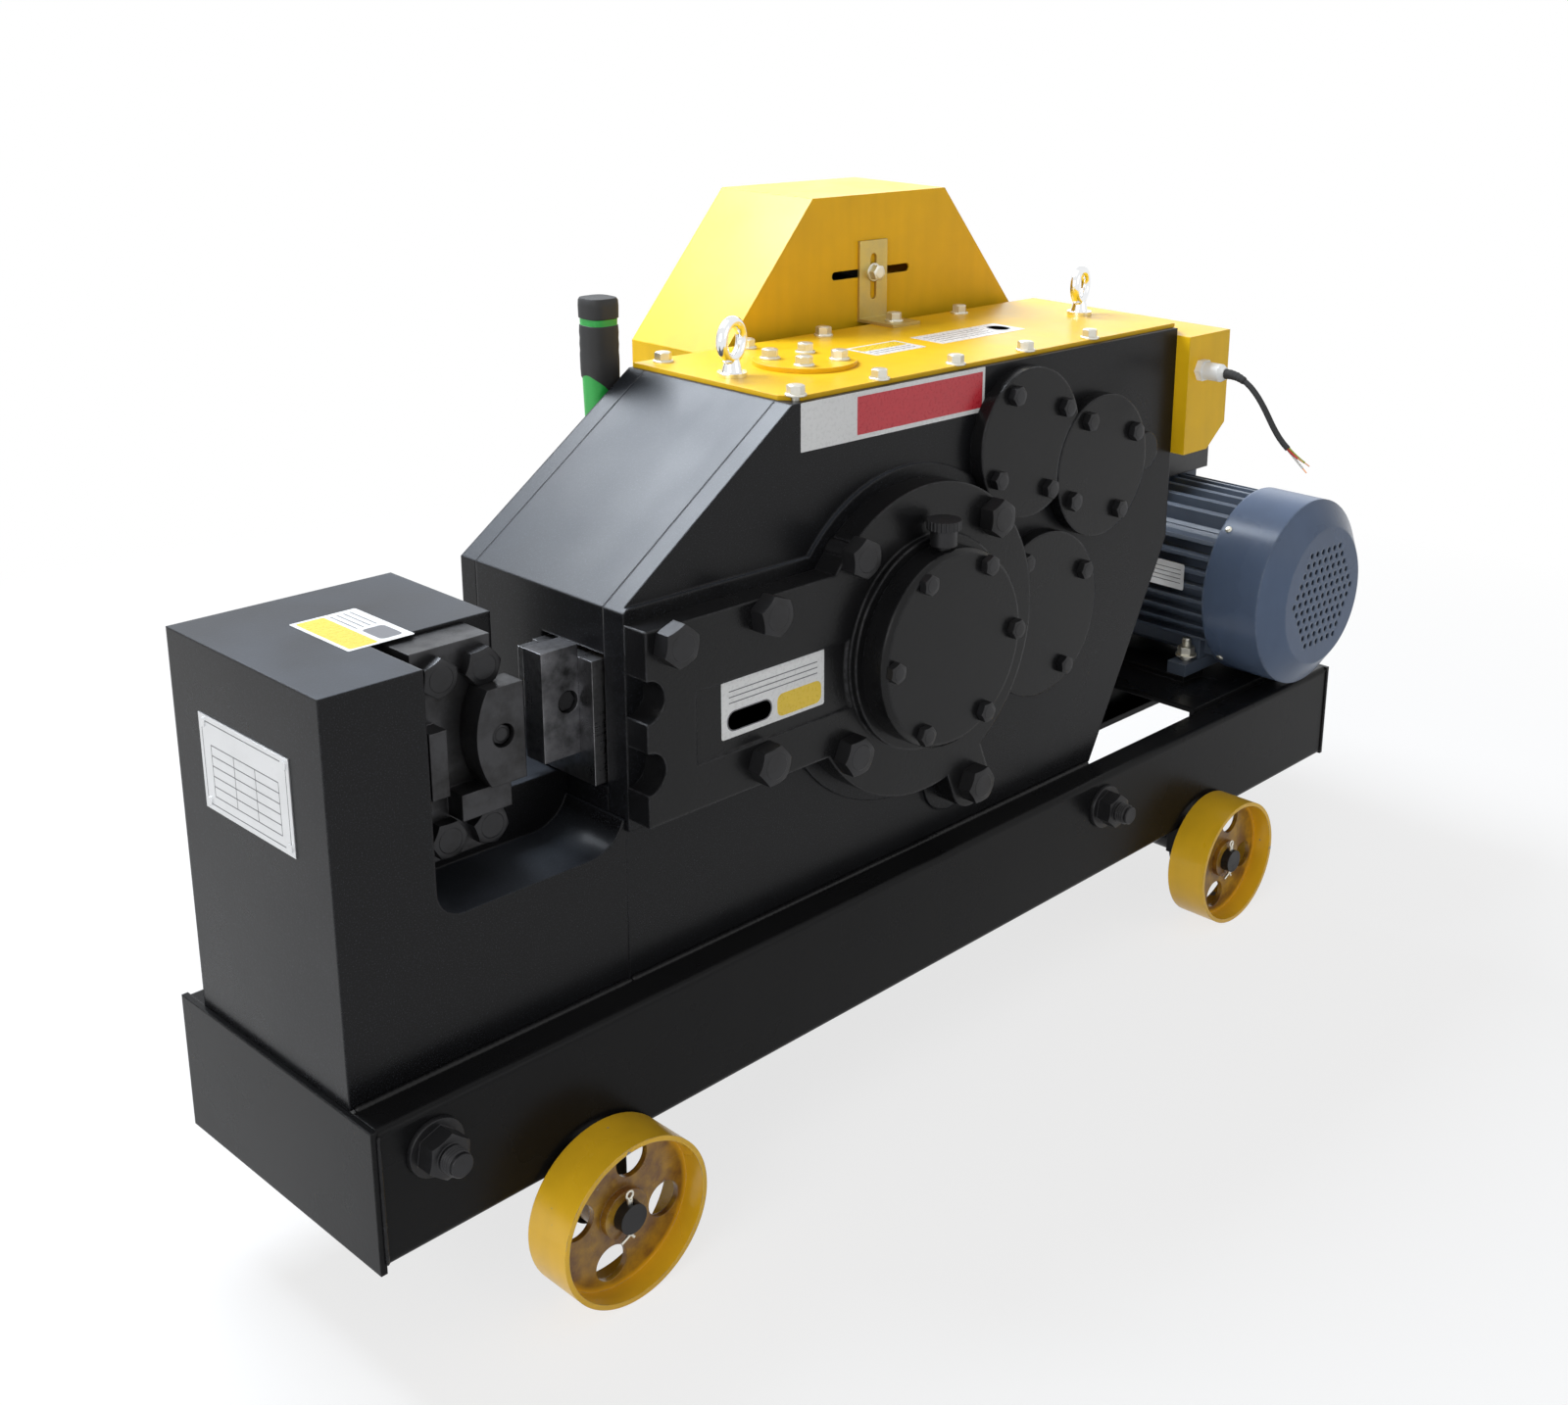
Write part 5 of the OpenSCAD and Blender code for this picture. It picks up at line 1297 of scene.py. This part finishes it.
@dataclass
class TopDeck(Assembly):
    """Yellow top plate, its bolts and the lifting eyes."""

    flats: float = 13 * MM
    head: float = 7 * MM
    washer: float = 1.6 * MM
    shank: float = 3.9 * MM

    def build(self) -> None:
        """Dresses the deck and adds bolts and labels."""
        self.dress(YELLOW_ENAMEL, "top_plate", "inspection_cover")
        self.dress(CHROME, "eye_bolts")
        self.bolts()
        self.labels()

    def bolts(self) -> None:
        """Flanged bolts of the deck, and the bolt in the guard's slot."""
        made = Fastener()
        draw = random.Random(3)
        for solid in node_solids(self.nodes, "top_bolts"):
            turn = draw.uniform(0, 1.05)
            if solid.size.y > 20 * MM:
                seat = Vector((solid.middle.x, solid.low.y + self.head, solid.middle.z))
                made.bolt(seat, Facing.FRONT, 14 * MM, self.head, 9 * MM, self.washer, turn)
                made.mesher.lathe(Matrix.Translation(seat) @ Facing.REAR.turn(),
                                  [(self.shank, 0), (self.shank, solid.size.y - self.head)], 20)
                continue
            depth = solid.size.z - self.head - self.washer
            seat = Vector((solid.middle.x, solid.middle.y, solid.low.z + depth))
            made.bolt(seat, Facing.UP, self.flats, self.head, 9 * MM, self.washer, turn)
            made.mesher.lathe(Matrix.Translation(seat - Vector((0, 0, depth))),
                              [(self.shank, 0), (self.shank, depth - 0.0001)], 20)
        piece = made.mesher.finish("deck_bolts", "machine", [ZINC.material()], "zinc")
        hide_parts("top_bolts")

    def labels(self) -> None:
        """Two blank labels between the bolts."""
        at = self.frame.at
        turn = Matrix.Rotation(math.radians(180), 4, "Z")
        Label("deck_label_long", 0.120, 0.041, lines(0.30, 0.94, [0.25, 0.42, 0.59, 0.76], 0.03, GREY_INK) + (
            Patch((0.05, 0.2, 0.22, 0.8), GREY_INK, 0.01), Patch((0.065, 0.24, 0.205, 0.76), WHITE_FILM, 0.009)),
              ).stick(Matrix.Translation(at(748, 137, 542)) @ Facing.UP.turn() @ turn, "machine", "yellow_paint")
        Label("deck_label_short", 0.066, 0.041, (Patch((0.06, 0.08, 0.94, 0.5), YELLOW_FILM, 0.003),)
              + lines(0.1, 0.9, [0.64, 0.80], 0.03, GREY_INK)).stick(
            Matrix.Translation(at(634, 137, 542)) @ Facing.UP.turn() @ turn, "machine", "yellow_paint")


PAN_HEAD: list[tuple[float, float]] = [
    (4 * MM, -0.2 * MM), (4 * MM, 0.8 * MM), (3.2 * MM, 1.9 * MM), (1.6 * MM, 2.4 * MM)]


@dataclass
class BeltDrive(Assembly):
    """Flywheel, belts, pulley and their guard."""

    screws: tuple[tuple[float, float], ...] = (
        (556, 262), (556, 508), (666, 648), (823, 648), (934, 508), (1250, 268), (1250, 152), (1034, 132), (786, 194))

    def build(self) -> None:
        """Dresses the drive and adds the guard's screws."""
        self.dress(YELLOW_ENAMEL, "belt_guard")
        self.dress(OLIVE_ZINC, "guard_bracket")
        self.dress(IRON, "flywheel", "motor_pulley")
        self.dress(BELT_RUBBER, "v_belts")
        mesher = Mesher()
        for x, z in self.screws:
            mesher.lathe(Matrix.Translation(self.frame.at(x, 376, z)) @ Facing.REAR.turn(), PAN_HEAD, 24)
        mesher.finish("guard_screws", "machine", [ZINC.material()], "zinc")


@dataclass
class Switchgear(Assembly):
    """Switch box with its buttons, gland and the cut-off power cable."""

    cable: float = 6 * MM
    boot: float = 24 * MM
    route: tuple[Point, ...] = (
        (967, -12, 496), (967, -18.3, 496.3), (967, -24.7, 495.5), (967, -30.9, 493.6),
        (967.2, -36.6, 490.7), (967.4, -41.9, 487), (967.6, -46.7, 482.6), (967.9, -51, 477.9),
        (968.2, -55, 472.8), (968.6, -58.7, 467.5), (969, -62.2, 462), (969.4, -65.6, 456.5),
        (969.9, -69, 451.1), (970.4, -72.7, 445.8), (970.9, -76.7, 440.8), (971.5, -81.2, 436.1),
        (972, -86, 432))

    def cord(self) -> None:
        """The cable with its three stripped cores, made before the assemblies."""
        points = [self.frame.at(*p) for p in self.route]
        curve = bpy.data.curves.new("power_cord", "CURVE")
        curve.dimensions = "3D"
        curve.bevel_depth, curve.bevel_resolution = self.cable / 2, 5
        curve.use_fill_caps = True
        spline = curve.splines.new("POLY")
        spline.points.add(len(points) - 1)
        for corner, point in zip(spline.points, points):
            corner.co = (*point, 1.0)
        cord = bpy.data.objects.new("power_cord", curve)
        bpy.context.scene.collection.objects.link(cord)
        curve.materials.append(CABLE_RUBBER.material())
        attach(cord, "machine")
        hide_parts("power_cable")
        pieces = [self.core(points, i, finish) for i, finish in enumerate((RED_CORE, WHITE_CORE, GREEN_CORE))]
        pieces.append(self.strain_relief(points))
        length = sum((b - a).length for a, b in zip(points, points[1:]))
        tuple(points[0])

    def strain_relief(self, points: list[Vector]) -> bpy.types.Object:
        """The tapered, ribbed sleeve that guides the cable out of its gland.

        Args:
            points: the cable's middle line.

        Returns:
            The finished sleeve.
        """
        path, radii, gone, count = [], [], 0.0, 0
        for start, end in zip(points, points[1:]):
            length = (end - start).length
            steps = max(2, round(length / (1.2 * MM)))
            for k in range(steps):
                if gone + length * k / steps > self.boot:
                    break
                share = (gone + length * k / steps) / self.boot
                path.append(start.lerp(end, k / steps))
                radii.append(self.cable / 2 + (1.9 - 1.5 * share) * MM + (0.35 * MM if count % 3 else 0.0))
                count += 1
            gone += length
        mesher = Mesher()
        mesher.tube(path, radii, 20)
        return mesher.finish("cable_boot", "machine", [CABLE_RUBBER.material()], "cable_rubber")

    def core(self, points: list[Vector], index: int, finish: Finish) -> bpy.types.Object:
        """One insulated core with a bare copper end, fanned out from the cable's end.

        Args:
            points: the cable's middle line.
            index: which of the three cores.
            finish: its insulation.

        Returns:
            The finished core.
        """
        end, along = points[-1], (points[-1] - points[-3]).normalized()
        side = along.cross(Vector((0, 0, 1))).normalized()
        turn = Matrix.Rotation(math.tau * index / 3, 3, along)
        out = turn @ side
        spread = (Vector((-0.10, -0.92, -0.36)), Vector((0.05, -0.75, -0.66)),
                  Vector((0.45, -0.68, -0.58)))[index]
        reach = (18 * MM, 27 * MM, 24 * MM)[index]
        path = [end - along * 3 * MM + out * 1.3 * MM]
        for k in range(1, 13):
            share = k / 12
            way = along.lerp(spread.normalized(), share)
            path.append(path[-1] + way.normalized() * reach / 12)
        mesher = Mesher()
        mesher.tube(path, [1.05 * MM] * len(path), 10)
        tip = (path[-1] - path[-2]).normalized()
        mesher.tube([path[-1] - tip * MM, path[-1] + tip * 6 * MM], [0.7 * MM, 0.6 * MM], 8, 1)
        return mesher.finish(f"core_{finish.name}", "machine", [finish.material(), COPPER.material()])

    def build(self) -> None:
        """Dresses the box and adds its lid's screws."""
        self.dress(YELLOW_ENAMEL, "switch_box")
        self.dress(GREEN_CAP, "start_button")
        self.dress(RED_CAP, "stop_button")
        self.dress(WHITE_PLASTIC, "cable_gland")
        self.screws()

    def screws(self) -> None:
        """Pan-head screws at the corners of the box's right face."""
        low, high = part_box("switch_box")
        made = Fastener()
        face = self.frame.at(1017, 0, 0).x
        for y in (low.y + 9 * MM, high.y - 9 * MM):
            for z in (low.z + 34 * MM, high.z - 9 * MM):
                place = Matrix.Translation(Vector((face, y, z))) @ Facing.RIGHT.turn()
                made.mesher.lathe(place, PAN_HEAD, 24)
        made.mesher.finish("box_screws", "machine", [ZINC.material()], "zinc")


@dataclass
class Motor(Assembly):
    """Foot-mounted motor."""

    def build(self) -> None:
        """Dresses the motor and adds bolts, lid screws and its blank plate."""
        self.dress(MOTOR_ENAMEL, "motor_frame", "motor_fins")
        self.dress(IRON, "motor_stator")
        self.dress(COVER_ENAMEL, "fan_cover")
        self.dress(BOX_BLACK, "terminal_box")
        self.dress(BRIGHT_STEEL, "motor_shaft")
        self.dress(BLACK_PLASTIC, "motor_fan")
        self.foot_bolts()
        self.box_screws()
        self.cover_screws()
        Label("motor_plate_blank", 0.052, 0.030, lines(0.08, 0.92, [0.25, 0.42, 0.59, 0.76], 0.025, GREY_INK),
              PLATE, 0.002, 0.0006).stick(
            Matrix.Translation(self.frame.at(1072.4, 118, 236)) @ Facing.LEFT.turn(), "machine", "plate_silver")

    def foot_bolts(self) -> None:
        """Zinc bolts with washers on the four feet."""
        made = Fastener()
        for i, solid in enumerate(node_solids(self.nodes, "motor_bolts")):
            seat = Vector((solid.middle.x, solid.middle.y, solid.high.z - 11 * MM))
            made.mesher.lathe(Matrix.Translation(seat),
                              [(12 * MM, -0.0001), (12 * MM, 1.8 * MM), (6 * MM, 2 * MM)], 32)
            made.bolt(seat + Vector((0, 0, 2 * MM)), Facing.UP, 17 * MM, 9 * MM, turn=0.3 * i)
            top = Vector((solid.middle.x, solid.middle.y, solid.high.z - 1 * MM))
            made.thread(top, Facing.UP, 5.5 * MM, 11 * MM, 1.75 * MM)
            depth = solid.size.z - 11 * MM
            made.mesher.lathe(Matrix.Translation(seat - Vector((0, 0, depth))),
                              [(5.8 * MM, 0), (5.8 * MM, depth - 0.0002)], 20)
        piece = made.mesher.finish("foot_bolts", "machine", [ZINC.material()], "zinc")
        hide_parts("motor_bolts")

    def cover_screws(self) -> None:
        """Four screws round the rear edge of the fan cover."""
        low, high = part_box("fan_cover")
        middle, radius = (low + high) / 2, (high.x - low.x) / 2
        mesher = Mesher()
        for turn in (45, 135, 225, 315):
            out = Matrix.Rotation(math.radians(turn), 3, "Y") @ Vector((1, 0, 0))
            spot = Vector((middle.x, high.y - 9 * MM, middle.z)) + out * (radius - 0.1 * MM)
            mesher.lathe(Matrix.Translation(spot) @ out.to_track_quat("Z", "Y").to_matrix().to_4x4(),
                         PAN_HEAD, 24)
        mesher.finish("cover_screws", "machine", [ZINC.material()], "zinc")

    def box_screws(self) -> None:
        """Four screws in the terminal box's lid."""
        low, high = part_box("terminal_box")
        mesher = Mesher()
        for x in (low.x + 9 * MM, high.x - 9 * MM):
            for y in (low.y + 9 * MM, high.y - 9 * MM):
                mesher.lathe(Matrix.Translation(Vector((x, y, high.z))),
                             [(4 * MM, -0.0002), (4 * MM, 1.2 * MM), (3 * MM, 2.4 * MM), (1.2 * MM, 2.8 * MM)], 24)
        mesher.finish("terminal_screws", "machine", [ZINC.material()], "zinc")


@dataclass
class ClutchLever(Assembly):
    """Lever with a two-colour moulded grip."""

    corner: float = 0.55

    def build(self) -> None:
        """Dresses the lever and makes its grip."""
        self.dress(BLACKED_STEEL, "clutch_lever")
        low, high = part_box("lever_grip")
        middle, half = (low + high) / 2, (high.x - low.x) / 2
        mesher = Mesher()
        span = high.z - low.z

        def section(share: float, size: float, slant: float = 0.0, squash: float = 1.0) -> list[Vector]:
            """A rounded-square ring; slant tips it so that its left side lies higher.

            Args:
                share: height as a share of the grip.
                size: width as a share of the grip.
                slant: tip of the ring.
                squash: depth against width.

            Returns:
                The ring's corners.
            """
            ring = []
            for i in range(40):
                a = math.tau * i / 40
                c, s = math.cos(a), math.sin(a)
                reach = 1 / (abs(c) ** 3.2 + abs(s) ** 3.2) ** (1 / 3.2)
                ring.append(Vector((middle.x + c * reach * half * size,
                                    middle.y + s * reach * half * size * squash,
                                    low.z + span * (share - slant * c))))
            return ring
        mesher.stack([section(0.0, 0.70), section(0.02, 0.78), section(0.30, 0.84), section(0.55, 0.90),
                      section(0.80, 0.90), section(0.845, 0.92), section(0.87, 0.92)], 0)
        rubber = [(0.40, 0.86, 0.10), (0.42, 0.94, 0.10), (0.50, 0.965, 0.06), (0.62, 0.975, 0.02),
                  (0.66, 0.955, 0.0), (0.70, 0.975, 0.0), (0.74, 0.955, 0.0), (0.78, 0.975, 0.0),
                  (0.825, 0.955, 0.0), (0.828, 0.86, 0.0)]
        mesher.stack([section(*r) for r in rubber], 1)
        mesher.stack([section(0.868, 0.92), section(0.873, 0.985), section(0.95, 1.0), (section(0.985, 0.98)),
                      section(1.0, 0.90)], 1)
        for k in range(6):
            z = low.z + span * (0.06 + 0.035 * k)
            for facing, out in ((Facing.LEFT, half * 0.80), (Facing.FRONT, half * 0.80)):
                spot = Vector((middle.x, middle.y, z)) + Vector(facing.value) * out
                mesher.slab(Matrix.Translation(spot) @ facing.turn(), 11 * MM, 1.6 * MM,
                            0.9 * MM, 0.7 * MM, 1)
        piece = mesher.finish("two_colour_grip", "lever", [GRIP_GREEN.material(), GRIP_BLACK.material()],
                              "grip_rubber")
        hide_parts("lever_grip")


# ---------- Studio ----------


COOL: Colour = (0.84, 0.91, 1.0)


@dataclass(frozen=True)
class Softbox:
    """A rectangular lamp aimed at a point."""

    name: str
    place: Point
    aim: Point
    size: tuple[float, float]
    watts: float
    colour: Colour = (1.0, 1.0, 1.0)

    def hang(self) -> None:
        """Makes the lamp."""
        data = bpy.data.lights.new(self.name, "AREA")
        data.shape, data.size, data.size_y, data.energy = "RECTANGLE", *self.size, self.watts
        data.color = self.colour
        lamp = bpy.data.objects.new(self.name, data)
        lamp.location = self.place
        lamp.rotation_euler = (Vector(self.place) - Vector(self.aim)).to_track_quat("Z", "Y").to_euler()
        lamp.visible_camera = False
        bpy.context.scene.collection.objects.link(lamp)


@dataclass
class Studio:
    """Camera, lamps, world and a white floor."""

    eye: Point = (-1.18295, -1.14122, 0.95031)
    ahead: Point = (0.73138, 0.621505, -0.28074)
    right: Point = (0.653317, -0.756602, 0.027038)
    lens: float = 41.75
    shift: tuple[float, float] = (-0.1225, -0.1095)
    softboxes: tuple[Softbox, ...] = (
        Softbox("overhead", (-0.3, -0.1, 3.0), (0, 0, 0.4), (3.0, 2.0), 4.0),
        Softbox("rear_top", (-0.47, 1.52, 2.53), (-0.305, -0.03, 0.58), (1.2, 1.2), 100.0, COOL),
        Softbox("rear_low", (2.92, 2.48, 1.68), (0, 0, 0.55), (3.0, 1.6), 18.0, COOL),
        Softbox("left_side", (-3.2, -0.9, 1.7), (0, 0, 0.4), (1.8, 1.8), 34.0),
        Softbox("front_side", (1.4, -3.4, 1.6), (0.1, 0, 0.3), (2.0, 1.6), 9.0),
    )

    def camera(self) -> None:
        """Places the camera."""
        data = bpy.data.cameras.new("eye")
        data.lens, data.sensor_width = self.lens, 36.0
        data.shift_x, data.shift_y = self.shift
        data.clip_end = 60.0
        camera = bpy.data.objects.new("eye", data)
        back = -Vector(self.ahead).normalized()
        side = (Vector(self.right) - back * Vector(self.right).dot(back)).normalized()
        turn = Matrix((side, back.cross(side), back)).transposed().to_4x4()
        camera.matrix_world = Matrix.Translation(Vector(self.eye)) @ turn
        bpy.context.scene.collection.objects.link(camera)
        bpy.context.scene.camera = camera

    def light(self) -> None:
        """Hangs the lamps and sets a white surround that lights gently."""
        for softbox in self.softboxes:
            softbox.hang()
        world = bpy.data.worlds.new("surround")
        bpy.context.scene.world = world
        world.use_nodes = True
        graph = Graph(world.node_tree)
        background = world.node_tree.nodes["Background"]
        background.inputs["Color"].default_value = (1, 1, 1, 1)
        graph.put(background.inputs["Strength"], graph.math("MAXIMUM", self.seen(graph), 0.30))

    @staticmethod
    def seen(graph: Graph) -> bpy.types.NodeSocket:
        """One where the eye, a reflection or a clear piece looks, and zero for light.

        Args:
            graph: the tree that asks.

        Returns:
            The answer's socket.
        """
        path = graph.add("ShaderNodeLightPath").outputs
        return graph.math("MAXIMUM", path["Is Camera Ray"],
                          graph.math("MAXIMUM", path["Is Glossy Ray"], path["Is Transmission Ray"]))

    def floor(self) -> None:
        """Lays a white floor that keeps a soft shadow."""
        mesh = bpy.data.meshes.new("floor")
        reach = 25.0
        mesh.from_pydata([(-reach, -reach, 0), (reach, -reach, 0), (reach, reach, 0), (-reach, reach, 0)],
                         [], [(0, 1, 2, 3)])
        floor = bpy.data.objects.new("floor", mesh)
        bpy.context.scene.collection.objects.link(floor)
        material = bpy.data.materials.new("floor_white")
        material.use_nodes = True
        graph = Graph(material.node_tree)
        shader = material.node_tree.nodes["Principled BSDF"]
        shader.inputs["Base Color"].default_value = (0.86, 0.86, 0.86, 1)
        shader.inputs["Roughness"].default_value = 0.9
        glow = graph.add("ShaderNodeEmission")
        both = graph.add("ShaderNodeMixShader")
        away = graph.add("ShaderNodeVectorMath", operation="LENGTH")
        graph.put(away.inputs[0], graph.place())
        share = graph.range(away.outputs["Value"], 0.7, 1.9, 0.74, 1.0)
        graph.put(both.inputs[0], graph.math("MULTIPLY", self.seen(graph), share))
        graph.put(both.inputs[1], shader.outputs[0])
        graph.put(both.inputs[2], glow.outputs[0])
        graph.put(material.node_tree.nodes["Material Output"].inputs["Surface"], both.outputs[0])
        mesh.materials.append(material)


def main() -> None:
    """Builds the model round its frame, piece by piece."""
    logging.basicConfig(level=logging.INFO, format="%(name)s: %(message)s")
    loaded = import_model()
    scene = bpy.context.scene
    scene.view_settings.view_transform = "Standard"
    frame, nodes = Frame.from_nodes(), loaded["nodes"]
    studio = Studio()
    studio.camera()
    switchgear = Switchgear(frame, nodes)
    switchgear.cord()
    for assembly in (Skid(frame, nodes), Cutter(frame, nodes), Gearbox(frame, nodes), TopDeck(frame, nodes),
                     BeltDrive(frame, nodes), switchgear, Motor(frame, nodes), ClutchLever(frame, nodes)):
        LOG.info("building %s", type(assembly).__name__)
        assembly.build()
    studio.light()
    studio.floor()


if __name__ == "__main__":
    main()
